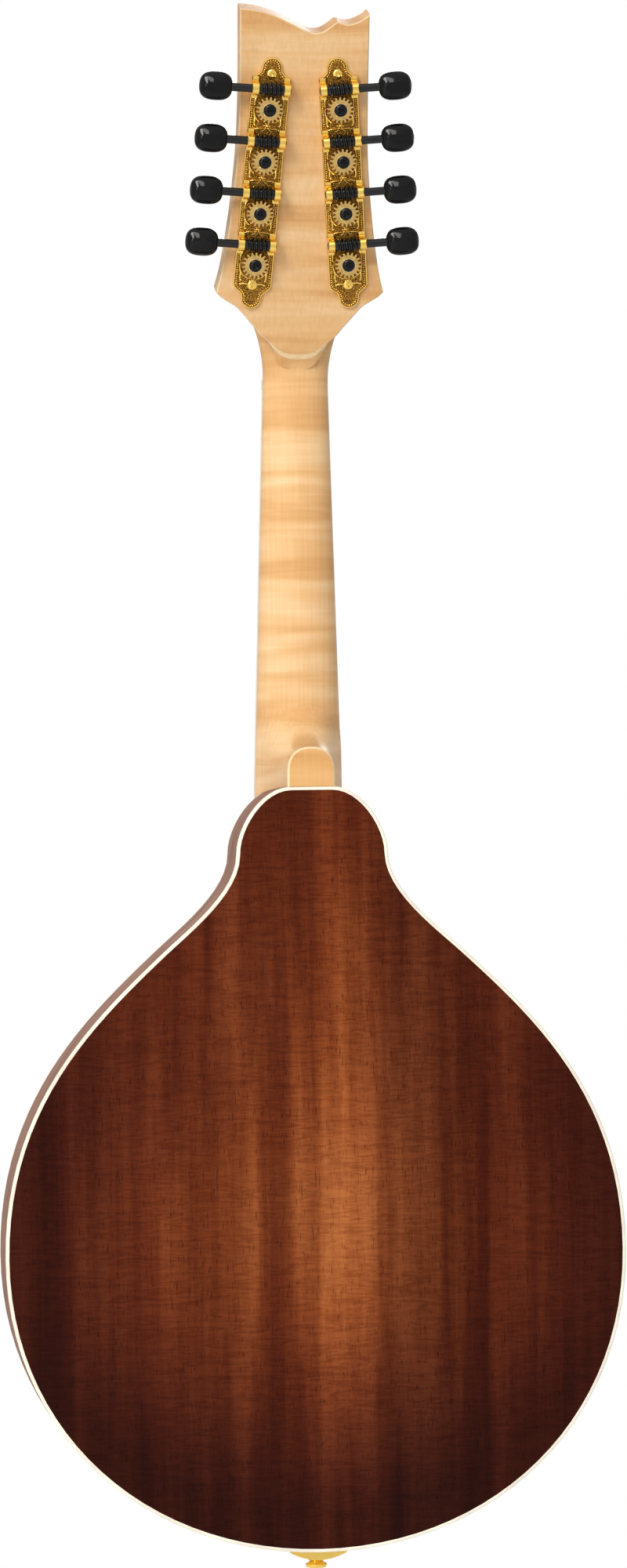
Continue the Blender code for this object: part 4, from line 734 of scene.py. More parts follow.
STEEL = make_metal("plain_steel", srgb(200, 200, 202), 0.22, 0.85)
BRONZE = make_metal("wound_bronze", srgb(206, 148, 92), 0.3, 0.75)
BLACK_STEEL = make_gloss("black_steel", srgb(10, 9, 10), 0.14, 320, 0.45)
BLACK_SCREW = make_gloss("black_screw", srgb(7, 6, 7), 0.12, 320, 0.25)
BUTTON_BLACK = make_gloss("button_black", srgb(7, 6, 7), 0.1, 90, 0.22)
LACQUER = make_gloss("black_lacquer", srgb(10, 9, 10), 0.16, 60, 0.15)
BONE = make_gloss("bone", srgb(238, 226, 198), 0.4, 300)
PEARL = make_gloss("pearl", srgb(232, 232, 226), 0.2, 500)


# Body

def body_outline():
    waist, nose = Vector(WAIST), Vector(NOSE)
    slope = Vector((math.cos(WAIST_ANGLE), math.sin(WAIST_ANGLE)))
    wide = (HALF_WIDTH, WIDEST_HEIGHT)
    below = (HALF_WIDTH, WIDEST_HEIGHT - LOWER_REACH)
    above = (HALF_WIDTH, WIDEST_HEIGHT + UPPER_REACH)
    lower = bezier((0.0, 0.0), (TAIL_REACH, 0.0), below, wide, 26)
    upper = bezier(wide, above, tuple(waist - slope * WAIST_REACH_BELOW), WAIST, 22)
    leaving = tuple(waist + slope * WAIST_REACH_ABOVE)
    curl = bezier(WAIST, leaving, (nose.x, nose.y - NOSE_REACH_BELOW), NOSE, 12)
    leaving = (nose.x, nose.y + NOSE_REACH_ABOVE)
    corner = (NOSE_FLAT_HALF + NOSE_CORNER_REACH, BODY_LENGTH)
    tip = bezier(NOSE, leaving, corner, (NOSE_FLAT_HALF, BODY_LENGTH), 12)
    return mirrored(lower[:-1] + upper[:-1] + curl[:-1] + tip)[:-1]


OUTLINE = body_outline()
PLATE_OUTLINE = inset(OUTLINE, BINDING_WIDTH)


def edge_distance(x, z):
    """How far out a point lies, from 0 at the middle of the arch to 1 at the plate's edge."""
    ray = Vector((x, z - ARCH_CENTRE))
    best = 1e-9
    for i, point in enumerate(PLATE_OUTLINE):
        a = Vector((point[0], point[1] - ARCH_CENTRE))
        b = Vector((PLATE_OUTLINE[i - 1][0], PLATE_OUTLINE[i - 1][1] - ARCH_CENTRE))
        side = b - a
        cross = ray.x * side.y - ray.y * side.x
        if abs(cross) < 1e-15:
            continue
        along = (a.x * side.y - a.y * side.x) / cross
        across = (a.x * ray.y - a.y * ray.x) / cross
        if along > 0.0 and -1e-9 <= across <= 1.0 + 1e-9:
            best = max(best, along)
    return 1.0 / best


def arch(ratio, rise):
    return rise * (0.5 + 0.5 * math.cos(math.pi * min(1.0, ratio))) ** ARCH_SHARPNESS


def top_sag(x, z):
    """How far below its highest point the soundboard lies at a place."""
    return arch(edge_distance(x, z), TOP_RISE) - TOP_RISE


def arched_plate(name, inner_face, way, rise):
    """A carved plate, whose vertices know how near the edge they are."""
    levels = [(i / 10, inner_face + way * arch(i / 10, rise - PLATE_THICKENING)) for i in range(1, 10)]
    levels += [(1.0, inner_face), (1.0, inner_face + way * PLATE_EDGE)]
    for i in range(1, 34):
        ratio = 1.0 - i * 0.03
        levels.append((ratio, inner_face + way * (PLATE_EDGE + arch(ratio, rise))))
    rings = []
    for ratio, depth in levels:
        rings.append([(x * ratio, depth, between(ARCH_CENTRE, z, ratio)) for x, z in PLATE_OUTLINE])
    data = loft(name, rings, tips=True)
    values = [ratio for ratio, _ in levels for _ in PLATE_OUTLINE] + [levels[0][0], levels[-1][0]]
    data.attributes.new("edge", "FLOAT", "POINT").data.foreach_set("value", values)
    return data


def binding(name, face, back):
    """A strip of plastic whose outer corner is rounded."""
    way = math.copysign(1.0, back - face)
    rings = [lift(OUTLINE, back)]
    for i in range(5):
        angle = math.pi / 2 * i / 4
        ring = inset(OUTLINE, BINDING_ROUNDING * (1 - math.cos(angle)))
        rings.append(lift(ring, face + way * BINDING_ROUNDING * (1 - math.sin(angle))))
    rings += [lift(PLATE_OUTLINE, face), lift(PLATE_OUTLINE, back)]
    return loft(name, rings, closed=True)


def add_sound_hole(build, side):
    high, low = (Vector(eye) for eye in HOLE_EYES)
    sway = Vector((0.0, (high.y - low.y) * 0.45))
    swing = Vector((HOLE_EYE_RADII[1] * 1.6, 0.0))
    leaving, arriving = low - swing + sway * 0.6, high + swing - sway * 0.6
    steps = 28
    spine = bezier(tuple(low), tuple(leaving), tuple(arriving), tuple(high), steps)
    left, right = [], []
    for i, point in enumerate(spine):
        along = (Vector(spine[min(steps, i + 1)]) - Vector(spine[max(0, i - 1)])).normalized()
        across = Vector((-along.y, along.x))
        half = between(HOLE_TIP_HALF_WIDTH, HOLE_HALF_WIDTH, math.sin(math.pi * i / steps))
        left.append(Vector(point) + across * half)
        right.append(Vector(point) - across * half)
    outline = [(side * p.x, p.y) for p in left + right[::-1]]
    add_prism(build, lift(outline, RIM_DEPTH - 2 * MM), (0.0, PLATE_EDGE + TOP_RISE + 4 * MM, 0.0))


def sound_hole_eyes(side):
    build = bmesh.new()
    for (x, z), radius in zip(HOLE_EYES, HOLE_EYE_RADII):
        place = shift(side * x, RIM_DEPTH + 8 * MM, z) @ AGAINST_Y
        add_lathe(build, rod(radius, -12 * MM, 12 * MM), 36, place)
    return finish_mesh("hole_eyes", build)


def make_body():
    inner = inset(OUTLINE, SIDE_THICKNESS)
    ledge = inset(OUTLINE, SIDE_THICKNESS + LINING_WIDTH)
    seam = FIT * 0.4
    high = RIM_DEPTH + seam
    levels = ((OUTLINE, -seam), (OUTLINE, high), (ledge, high), (inner, RIM_DEPTH - LINING_DEPTH),
              (inner, LINING_DEPTH), (ledge, -seam))
    piece("rim", loft("rim", [lift(*level) for level in levels], closed=True), BODY, SIDE_WOOD)
    piece("back_binding", binding("back_binding", BACK_FACE, -FIT), BODY, CREAM)
    piece("top_binding", binding("top_binding", TOP_FACE, RIM_DEPTH + FIT), BODY, CREAM)
    piece("back_plate", arched_plate("back_plate", -FIT, -1.0, BACK_RISE), BODY, BACK_WOOD)
    data = arched_plate("soundboard", RIM_DEPTH + FIT, 1.0, TOP_RISE)
    holes = bmesh.new()
    for side in (-1.0, 1.0):
        add_sound_hole(holes, side)
    cuts = [finish_mesh("holes", holes)] + [sound_hole_eyes(side) for side in (-1.0, 1.0)]
    piece("soundboard", carve(data, *[("DIFFERENCE", cut) for cut in cuts]), BODY, SPRUCE)
    keep("neck_block", BLOCK_WOOD)
    keep("tail_block", BLOCK_WOOD)


# Neck

def neck_half_width(z):
    return NUT_HALF_WIDTH - NECK_TAPER * z


def flare_half_width(share):
    return between(NUT_HALF_WIDTH, FLARE_HALF_WIDTH, share**2)


def neck_shaft():
    at_body = -(NUT_HEIGHT - BODY_LENGTH) / math.cos(NECK_ANGLE)
    places = [(at_body - NECK_INSIDE, neck_half_width(at_body), NECK_ROUND_AT_BODY)]
    for i in range(41):
        share = 1 - i / 40
        depth = between(NECK_ROUND_AT_NUT, NECK_ROUND_AT_BODY, max(0.0, (share - 0.1) / 0.9))
        places.append((at_body * share, neck_half_width(at_body * share), depth))
    for i in range(17):
        share = i / 16
        depth = NECK_ROUND_AT_NUT + FLARE_DEEPENING * share**1.5
        places.append((NUT_LENGTH + FLARE_RUN * share, flare_half_width(share), depth))
    rings = []
    for z, half, depth in places:
        top = -max(0.0, z - NUT_LENGTH) * math.tan(HEAD_ANGLE)
        ring = []
        for i in range(41):
            angle = math.pi * i / 40
            spot = Vector((half * math.cos(angle), top - (depth + top) * math.sin(angle) ** 0.85, z))
            ring.append(NECK_IN_BODY @ spot)
        rings.append(ring)
    return loft("neck", rings)


def heel():
    rings = []
    first = HEEL_CHAMFER / (HEEL_TOP_DEPTH - BACK_FACE)
    levels = [(0.0, HEEL_CHAMFER)] + [(first + i / HEEL_ROWS * 0.99, 0.0) for i in range(HEEL_ROWS + 1)]
    inside = BODY_LENGTH - NECK_INSIDE
    for rise, shrink in levels:
        depth = between(BACK_FACE, HEEL_TOP_DEPTH, rise)
        half = between(HEEL_CAP_HALF_WIDTH, HEEL_TOP_HALF_WIDTH, rise**1.5) - shrink
        reach = between(HEEL_CAP_LENGTH, HEEL_TOP_LENGTH, rise**3.0) - shrink
        bow = min(reach, half * (1.15 + 1.5 * rise**2))
        ring = [(half, depth, inside)]
        for i in range(33):
            angle = math.pi * i / 32
            x = half * math.copysign(abs(math.cos(angle)) ** 0.8, math.cos(angle))
            z = BODY_LENGTH + reach - bow + bow * math.sin(angle) ** 0.8
            ring.append((x, depth, z))
        rings.append(ring + [(-half, depth, inside)])
    return loft("heel", rings)


# The headstock seen square on, as shares of its half width and length: its side upwards, then its crown
HEAD_ROUND_POINTS = 5
HEAD_SIDE = (
    (0.0, 0.0814), (0.1192, 0.0832), (0.206, 0.0891), (0.2927, 0.1022), (0.3713, 0.1182), (0.4607, 0.1361),
    (0.523, 0.1533), (0.5935, 0.1711), (0.7398, 0.208), (0.8401, 0.2234), (0.9377, 0.2371), (1.0, 0.2501),
    (0.9919, 0.2591), (0.9322, 0.3161), (0.8455, 0.4456), (0.7778, 0.612), (0.7615, 0.7784),
)
HEAD_CROWN = (
    (0.7588, 0.9851), (0.6938, 0.9739), (0.626, 0.9655), (0.5257, 0.9584), (0.4336, 0.9608),
    (0.3713, 0.9638), (0.29, 0.9507), (0.2005, 0.9388), (0.0949, 0.9358), (0.0081, 0.9418),
    (-0.1382, 0.9572), (-0.3198, 0.9774), (-0.477, 0.9899), (-0.6477, 0.9976), (-0.7751, 1.0),
)


def on_head(x, v):
    return x * HEAD_HALF_WIDTH, v * HEAD_LENGTH


def head_outline(drop=0.0):
    """The headstock's outline, whose round lower end may be moved down."""
    low, high = HEAD_SIDE[0][1], HEAD_SIDE[HEAD_ROUND_POINTS - 1][1]
    right = []
    for point in HEAD_SIDE:
        x, v = on_head(*point)
        right.append((x, v - drop * max(0.0, (high - point[1]) / (high - low))))
    return right + [on_head(*point) for point in HEAD_CROWN] + [(-x, v) for x, v in reversed(right[1:])]


def headstock():
    slope = SCOOP_RUN / SCOOP_DEPTH
    rings = []
    for y, drop, shrink in (
        (-HEAD_THICKNESS, 0.0, HEAD_CHAMFER),
        (HEAD_CHAMFER - HEAD_THICKNESS, HEAD_CHAMFER * slope, 0.0),
        (SCOOP_DEPTH - HEAD_THICKNESS, SCOOP_RUN, 0.0),
        (0.0, SCOOP_RUN + 1 * MM, 0.0),
    ):
        outline = smooth_loop(head_outline(drop), HEAD_CORNERS)
        if shrink:
            outline = inset(outline, shrink)
        rings.append([HEAD_IN_BODY @ Vector((x, y, v)) for x, v in outline])
    return loft("headstock", rings)


def post_places():
    """Each tuner: its side's name and sign, its number, and its post's place on the headstock."""
    for label, side in (("left", -1.0), ("right", 1.0)):
        for k in range(POST_COUNT):
            along = along_plate(k)
            x = side * (POST_HALF_SPACING - along * math.sin(PLATE_LEAN))
            yield label, side, k, x, POST_MIDDLE + along * math.cos(PLATE_LEAN)


def post_holes(matrix, low, high):
    build = bmesh.new()
    for _, _, _, x, v in post_places():
        add_lathe(build, rod(POST_RADIUS + FIT, low, high), 24, matrix @ shift(x, 0, v) @ ALONG_Y)
    return finish_mesh("post_holes", build)


def make_neck():
    floor = BACK_FACE - 5 * MM
    room = bmesh.new()
    add_prism(room, lift(inset(OUTLINE, -FIT * 0.3), floor), (0.0, TOP_FACE - floor + 0.5 * MM, 0.0))
    data = carve(
        neck_shaft(), ("UNION", heel()), ("UNION", headstock()), ("DIFFERENCE", finish_mesh("room", room)),
        ("DIFFERENCE", post_holes(HEAD_IN_BODY, -HEAD_THICKNESS - 1 * MM, 1 * MM)),
    )
    # The heel cap gets its own maple; the chamfers of the heel and the headstock get a painted highlight.
    to_head = HEAD_IN_BODY.inverted()
    for face in data.polygons:
        spot = to_head @ face.center
        on_heel = BODY_LENGTH < face.center.z < BODY_LENGTH + 30 * MM
        if on_heel and abs(face.center.y - BACK_FACE) < 0.02 * MM and abs(face.normal.y) > 0.99:
            face.material_index = 1
        elif on_heel and face.center.y < BACK_FACE + HEEL_CHAMFER:
            face.material_index = 2
        elif spot.z > FLARE_RUN * 0.4 and 0.02 * MM < spot.y + HEAD_THICKNESS < HEAD_CHAMFER:
            face.material_index = 2
    piece("neck", data, BODY, MAPLE, HEEL_CAP, PAINTED_CHAMFER_HIGHLIGHT, crease=30)
    rings = []
    low = -TONGUE_THICKNESS
    for z in (TONGUE_SHORTFALL - BOARD_LENGTH, BODY_LENGTH - NUT_HEIGHT + 1 * MM):
        half = neck_half_width(z) - TONGUE_INSET
        rings.append([(-half, low, z), (half, low, z), (half, 0.0, z), (-half, 0.0, z)])
    piece("neck_tongue", loft("neck_tongue", rings), NECK, MAPLE)


def make_veneer():
    points = [p for p in head_outline() if p[1] > FLARE_RUN]
    right = [(NUT_HALF_WIDTH, FIT)]
    right += [(flare_half_width(share), FLARE_RUN * share) for share in (0.25, 0.5, 0.75, 0.95)]
    outline = right + points + [(-x, v) for x, v in reversed(right)]
    by_side = sorted(points, key=lambda p: p[0])
    marks = (by_side[-1], on_head(*HEAD_CROWN[0]), on_head(*HEAD_CROWN[-1]), by_side[0])
    corners = [0, len(outline) - 1] + [len(right) + points.index(mark) for mark in marks]
    smooth = inset(smooth_loop(outline, corners), VENEER_INSET)
    rings = [lift(smooth, FIT), lift(smooth, VENEER_FACE - EDGE_BREAK)]
    rings.append(lift(inset(smooth, EDGE_BREAK), VENEER_FACE))
    holes = post_holes(Matrix.Identity(4), 0.0, VENEER_FACE + 1 * MM)
    piece("headstock_veneer", carve(loft("veneer", rings), ("DIFFERENCE", holes)), HEAD, LACQUER)


# Tuners

def plate_outline():
    shoulder, half, radius = PLATE_END_LENGTH, PLATE_HALF_WIDTH, PLATE_LOBE_RADIUS
    leaving, arriving = (half * 0.95, shoulder * 0.28), (radius, shoulder * 0.25)
    quarter = bezier((half, 0.0), leaving, arriving, (radius, shoulder - radius), 12)[:-1]
    for i in range(10):
        x, y = polar(radius, math.pi / 2 * i / 9)
        quarter.append((x, shoulder - radius + y))
    top = [(x, PLATE_TOP - shoulder + y) for x, y in quarter]
    bottom = [(x, shoulder - PLATE_BOTTOM - y) for x, y in quarter]
    right = list(reversed(bottom)) + top
    return right + [(-x, y) for x, y in reversed(right[1:-1])]


def stepped(outline, step):
    """Points at even distances round a closed outline."""
    points = [Vector(point) for point in outline]
    lengths = [(b - a).length for a, b in zip(points, points[1:] + points[:1])]
    count = round(sum(lengths) / step)
    result, walked, i = [], 0.0, 0
    for number in range(count):
        target = sum(lengths) * number / count
        while walked + lengths[i] < target:
            walked += lengths[i]
            i += 1
        spot = points[i].lerp(points[(i + 1) % len(points)], (target - walked) / lengths[i])
        result.append((spot.x, spot.y))
    return result


DOME = [(1.0, 0.0), (0.92, 0.4), (0.7, 0.72), (0.38, 0.93), (0.0, 1.0)]


def add_dome(build, x, y, low, radius, height, steps=8):
    add_lathe(build, [(r * radius, h * height) for r, h in DOME], steps, shift(x, y, low))


# A gear's branches and scrolls in mm from its middle: four points of a curve, thickness, and end bud
STEMS = (
    ((6.3, -0.6), (6.2, -4.4), (4.2, -6.6), (1.2, -7.2), 0.45, 0.0),
    ((6.2, -3.6), (5.0, -5.4), (6.4, -6.6), (5.4, -8.0), 0.35, 0.5),
    ((0.8, -8.9), (2.0, -10.2), (3.4, -8.8), (5.4, -9.9), 0.4, 0.45),
    ((0.4, -8.9), (1.0, -10.0), (1.4, -10.4), (2.4, -10.6), 0.3, 0.0),
    ((6.2, 5.0), (5.6, 3.8), (6.6, 2.6), (6.2, 1.0), 0.35, 0.45),
)


def plate_ornament(build, centre):
    """Two branches that curl from the gear down to a rosette, and scrolls on either side."""
    for way in (-1.0, 1.0):
        for *path, thickness, bud in STEMS:
            size, bud = thickness * MM, bud * MM
            points = bezier(*[(way * x * MM, centre + y * MM) for x, y in path], 12)
            radii = [size * (0.35 + 0.65 * math.sin(math.pi * (0.12 + 0.8 * i / 12))) for i in range(13)]
            add_tube(build, [(x, y, PLATE_FIELD + size * 0.25) for x, y in points], radii)
            if bud:
                add_dome(build, *points[-1], PLATE_FIELD, bud, bud * 0.8, 10)
    middle = centre - ROSETTE_DROP
    add_dome(build, 0.0, middle, PLATE_FIELD, *ROSETTE_BOSS, 12)
    for x, y, _ in circle(ROSETTE_RADIUS, ROSETTE_PETALS, 0.0):
        add_dome(build, x, middle + y, PLATE_FIELD, *ROSETTE_PETAL)


def lug_ring(x, y, shrink):
    """A lug seen along its shaft: two stepped feet, and a barrel over the shaft."""
    foot, radius, half = LUG_FOOT_HEIGHT, LUG_BARREL_RADIUS - shrink, LUG_HALF_FOOT - shrink
    left = [(-half, 0.0), (-half, foot - shrink)]
    left += [(-radius - 0.3 * MM, foot - shrink), (-radius, foot + 0.5 * MM)]
    barrel = []
    for i in range(17):
        across, rise = polar(radius, math.pi * (1 - i / 16))
        barrel.append((across, WORM_HEIGHT - PLATE_FIELD + rise))
    outline = left + barrel + [(-across, n) for across, n in reversed(left)]
    return [(x, y + across, PLATE_FIELD + n) for across, n in outline]


def phillips(radius, height, depth):
    """The low domed head of a cross-slotted screw, from its underside at 0."""
    profile = [(radius, 0.0), (radius, height * 0.3)]
    profile += [(r * radius, height * (0.3 + 0.7 * h)) for r, h in DOME[1:]]
    arm, half = radius * 0.62, radius * 0.11
    cross = [
        (arm, half), (half, half), (half, arm), (-half, arm), (-half, half), (-arm, half),
        (-arm, -half), (-half, -half), (-half, -arm), (half, -arm), (half, -half), (arm, -half),
    ]
    rings = []
    for share, level in ((0.35, height - depth), (1.0, height + 0.2 * MM)):
        shape = [[value * share if abs(value) > half else value for value in spot] for spot in cross]
        rings.append([(*spot, level) for spot in shape])
    return carve(lathe("screw_head", profile, 32), ("DIFFERENCE", loft("slots", rings)))


def make_tuner_plate(label, side, head):
    place = tuner_frame(side)
    outline = plate_outline()
    ground, holes, relief, lugs, bores = (bmesh.new() for _ in range(5))
    ends, soft = (-PLATE_HALF_WIDTH, PLATE_HALF_WIDTH - LUG_THICKNESS), EDGE_BREAK
    border = (
        (0.0, FIT), (0.0, PLATE_FACE - 0.35 * MM), (0.15 * MM, PLATE_FACE - 0.2 * MM),
        (0.4 * MM, PLATE_FACE - 0.2 * MM), (0.55 * MM, PLATE_FIELD - 0.1 * MM), (0.35 * MM, FIT),
    )
    rings = [[(x, y, n) for x, y in inset(outline, shrink)] for shrink, n in border]
    add_loft(relief, rings, closed=True)
    for x, y in stepped(inset(outline, BEAD_INSET), BEAD_STEP):
        add_dome(relief, x, y, PLATE_FIELD - 0.05 * MM, *BEAD)
    for k in range(POST_COUNT):
        y = along_plate(k)
        add_lathe(holes, rod(POST_RADIUS + FIT, -1 * MM, 3 * MM), 24, shift(0, y, 0))
        plate_ornament(relief, y)
        y += WORM_OFFSET
        for start in ends:
            levels = ((0.0, soft), (soft, 0.0), (LUG_THICKNESS - soft, 0.0), (LUG_THICKNESS, soft))
            add_loft(lugs, [lug_ring(start + x, y, shrink) for x, shrink in levels])
        bore = rod(SHAFT_RADIUS + 0.15 * MM, -2 * PLATE_HALF_WIDTH, 2 * PLATE_HALF_WIDTH)
        add_lathe(bores, bore, 24, shift(0, y, WORM_HEIGHT) @ ALONG_X)
    add_prism(ground, [(x, y, FIT) for x, y in inset(outline, 0.2 * MM)], (0.0, 0.0, PLATE_FIELD - FIT))
    data = carve(finish_mesh("plate", ground), ("DIFFERENCE", finish_mesh("holes", holes)))
    piece(f"tuner_plate_{label}", data, place, FIELD)
    piece(f"plate_relief_{label}", relief, place, GOLD)
    data = carve(finish_mesh("lugs", lugs), ("DIFFERENCE", finish_mesh("bores", bores)))
    piece(f"plate_lugs_{label}", data, place, GOLD)
    for number, y in enumerate(PLATE_SCREWS):
        screw = place @ shift(0, y, PLATE_FIELD) @ turn(0.5 + number, "Z")
        piece(f"plate_screw_{label}_{number + 1}", head, screw, GOLD)


def worm_shaft():
    """The worm's thread, its journals and the rod out to the button, along the Z axis."""
    sides, rows = 28, 14
    half_run = WORM_TURNS / 2 * WORM_PITCH
    count = int(WORM_TURNS * rows)
    inner = PLATE_HALF_WIDTH - LUG_THICKNESS
    worm = []
    for i in range(count + 1):
        z = -half_run + 2 * half_run * i / count
        ease = min(1.0, (half_run - abs(z)) / (0.5 * MM))
        ring = []
        for j in range(sides):
            angle = 2 * math.pi * j / sides
            phase = (z / WORM_PITCH - (angle - math.pi / 2) / (2 * math.pi)) % 1.0
            ridge = max(0.0, min(1.0, 1.55 - 5.0 * min(phase, 1 - phase))) * ease
            radius = between(WORM_ROOT_RADIUS, WORM_CREST_RADIUS, ridge)
            ring.append((*polar(radius, angle), z))
        worm.append(ring)
    tail = ((1.2 * MM, -PLATE_HALF_WIDTH - 0.25 * MM), (SHAFT_RADIUS, 0.3 * MM - PLATE_HALF_WIDTH),
            (SHAFT_RADIUS, -inner), (WORM_ROOT_RADIUS, -inner + 0.1 * MM))
    head = ((WORM_ROOT_RADIUS, inner - 0.1 * MM), (SHAFT_RADIUS, inner),
            (SHAFT_RADIUS, PLATE_HALF_WIDTH + SHAFT_FREE_LENGTH + 1 * MM))
    before, after = ([circle(radius, sides, z) for radius, z in part] for part in (tail, head))
    return loft("worm_shaft", before + worm + after)


def button_mesh(side):
    """A button whose two faces each have a bowed upper facet, a flat and a lower facet."""
    high, thick = BUTTON_HALF_HEIGHT, BUTTON_HALF_THICKNESS
    start = PLATE_HALF_WIDTH + SHAFT_FREE_LENGTH
    lower = -0.42 * high
    rings = []
    columns, across = 40, 25
    for i in range(columns + 1):
        s = 0.5 - 0.5 * math.cos(math.pi * i / columns)
        bow = abs(2 * s - 1)
        tall = high * max(0.004, 1 - bow**BUTTON_SQUARENESS) ** (1 / BUTTON_SQUARENESS)
        deep = thick * max(0.03, 1 - bow**4) ** 0.5
        upper = high * (0.4 - 0.5 * bow**2)
        front = []
        for j in range(across):
            y = tall * math.sin(math.pi / 2 * (2 * j / (across - 1) - 1))
            above, below = max(0.0, (y - upper) / (high - upper)), max(0.0, (lower - y) / (high + lower))
            round_off = math.sqrt(max(0.0, 1 - abs(y / tall) ** 8))
            front.append((y, deep * (1 - 0.66 * above - 0.45 * below) * round_off))
        ring = front + [(y, -n) for y, n in reversed(front[1:-1])]
        rings.append([(side * (start + s * BUTTON_LENGTH), y, n) for y, n in ring])
    return loft("button", rings)


def gear_mesh():
    """A gear with a tooth pointing at the worm, its corners broken."""
    pitch = 2 * math.pi / GEAR_TEETH
    half = ((0.31, -0.12), (0.25, 0.1), (0.21, 0.7), (0.16, 0.93), (0.07, 1.0))
    shares = [(-share, height) for share, height in half] + list(reversed(half))
    chamfer = 0.15 * MM
    rings = []
    for level, shrink in (
        (GEAR_FLOOR, chamfer), (GEAR_FLOOR + chamfer, 0.0), (GEAR_FACE - chamfer, 0.0), (GEAR_FACE, chamfer),
    ):
        ring = []
        for tooth in range(GEAR_TEETH):
            for share, height in shares:
                angle = math.pi / 2 + (tooth + share) * pitch
                radius = between(GEAR_ROOT_RADIUS, GEAR_TIP_RADIUS, height) - shrink
                ring.append((*polar(radius, angle), level))
        rings.append(ring)
    return loft("gear", rings)


def washer_mesh():
    (inner, outer), soft = WASHER_RADII, 0.15 * MM
    low, high = GEAR_FACE - 0.1 * MM, GEAR_FACE + 0.35 * MM
    profile = [(inner, low), (inner, high - soft), (inner + soft, high), (outer - soft, high),
               (outer, high - soft), (outer, low)]
    return lathe("washer", profile, 36, closed=True)


def post_mesh():
    """A post from under its gear to its rounded tip, with a waist for the string and an eye."""
    front = -(HEAD_THICKNESS + VENEER_FACE)
    waist = front - BUSHING_HEIGHT - WINDING_START
    tip = front - POST_STAND
    profile = [
        (0.0, GEAR_FLOOR - FIT),
        (2.0 * MM, GEAR_FLOOR - FIT),
        (POST_RADIUS, GEAR_FLOOR - 2 * FIT),
        (POST_RADIUS, waist + 0.3 * MM),
        (POST_WAIST_RADIUS, waist - 0.3 * MM),
        (POST_WAIST_RADIUS, waist - WINDING_HEIGHT),
        (POST_RADIUS * 0.93, waist - WINDING_HEIGHT - 0.5 * MM),
        (POST_RADIUS * 0.97, tip + 0.7 * MM),
        (POST_RADIUS * 0.86, tip + 0.2 * MM),
        (POST_RADIUS * 0.6, tip),
        (0.0, tip),
    ]
    place = shift(0, 0, tip + POST_EYE_DROP) @ AGAINST_Y
    hole = lathe("eye", rod(POST_EYE_RADIUS, -5 * MM, 5 * MM), 16, place)
    return carve(lathe("post", profile, 32), ("DIFFERENCE", hole))


def coil_mesh(name, radius):
    """The turns of string round a post."""
    front = -(HEAD_THICKNESS + VENEER_FACE)
    high = front - BUSHING_HEIGHT - WINDING_START - radius
    pitch = radius * 2.1
    reach = WINDING_RADIUS - radius
    path = []
    for i in range(int(min(5.0, (WINDING_HEIGHT - 2 * radius) / pitch) * 20) + 1):
        path.append((*polar(reach, 2 * math.pi * i / 20), high - pitch * i / 20))
    build = bmesh.new()
    add_tube(build, path, radius)
    return finish_mesh(name, build)


def make_tuners():
    head, gear_head = phillips(*PLATE_SCREW), phillips(*GEAR_SCREW)
    gear, worm, post, washer = gear_mesh(), worm_shaft(), post_mesh(), washer_mesh()
    coils = [coil_mesh(f"coil_{i}", radius) for i, radius in enumerate(STRING_RADII)]
    ferrules = bmesh.new()
    profile = [
        (POST_RADIUS + FIT, 0.0), (POST_RADIUS + FIT, 0.7 * MM), (POST_RADIUS + 2 * FIT, BUSHING_HEIGHT),
        (FERRULE_RADII[0], BUSHING_HEIGHT * 0.8), (FERRULE_RADII[1], 0.0),
    ]
    for label, side, k, x, v in post_places():
        if k == 0:
            make_tuner_plate(label, side, head)
            button = button_mesh(side)
            button.transform(tuner_frame(side).to_3x3().to_4x4())
        name = f"{label}_{k + 1}"
        key, turned = f"tuner_key_{name}", f"tuner_post_{name}"
        place = tuner_frame(side) @ shift(0, along_plate(k), 0)
        shaft = tuner_frame(side) @ shift(0, along_plate(k) + WORM_OFFSET, WORM_HEIGHT)
        rod_place, button_place = shaft @ turn(side * math.pi / 2, "Y"), Matrix.Translation(shaft.translation)
        piece(f"tuner_shaft_{name}", worm, rod_place, BLACK_STEEL, body=key, crease=25)
        piece(f"tuner_button_{name}", button, button_place, BUTTON_BLACK, body=key, crease=14)
        piece(f"tuner_gear_{name}", gear, place, BRASS, body=turned, crease=25)
        piece(f"string_post_{name}", post, place, GOLD, body=turned)
        piece(f"gear_washer_{name}", washer, place, BRIGHT_BRASS, body=turned)
        screw = place @ shift(0, 0, GEAR_FACE + 0.05 * MM) @ turn(0.4 + 0.7 * k + side * 0.3, "Z")
        piece(f"gear_screw_{name}", gear_head, screw, BLACK_SCREW, body=turned)
        course = 2 + k // 2 if side < 0 else (POST_COUNT - 1 - k) // 2
        piece(f"string_coil_{name}", coils[course], place, string_metal(course), body=turned)
        add_lathe(ferrules, profile, 28, shift(x, VENEER_FACE, v) @ ALONG_Y, closed=True)
    piece("post_ferrules", ferrules, HEAD, GOLD)


# Fingerboard, nut and strings

def fret_place(number):
    return -SCALE_LENGTH * (1 - 2 ** (-number / 12))


def string_metal(course):
    return BRONZE if course < WOUND_COURSES else STEEL


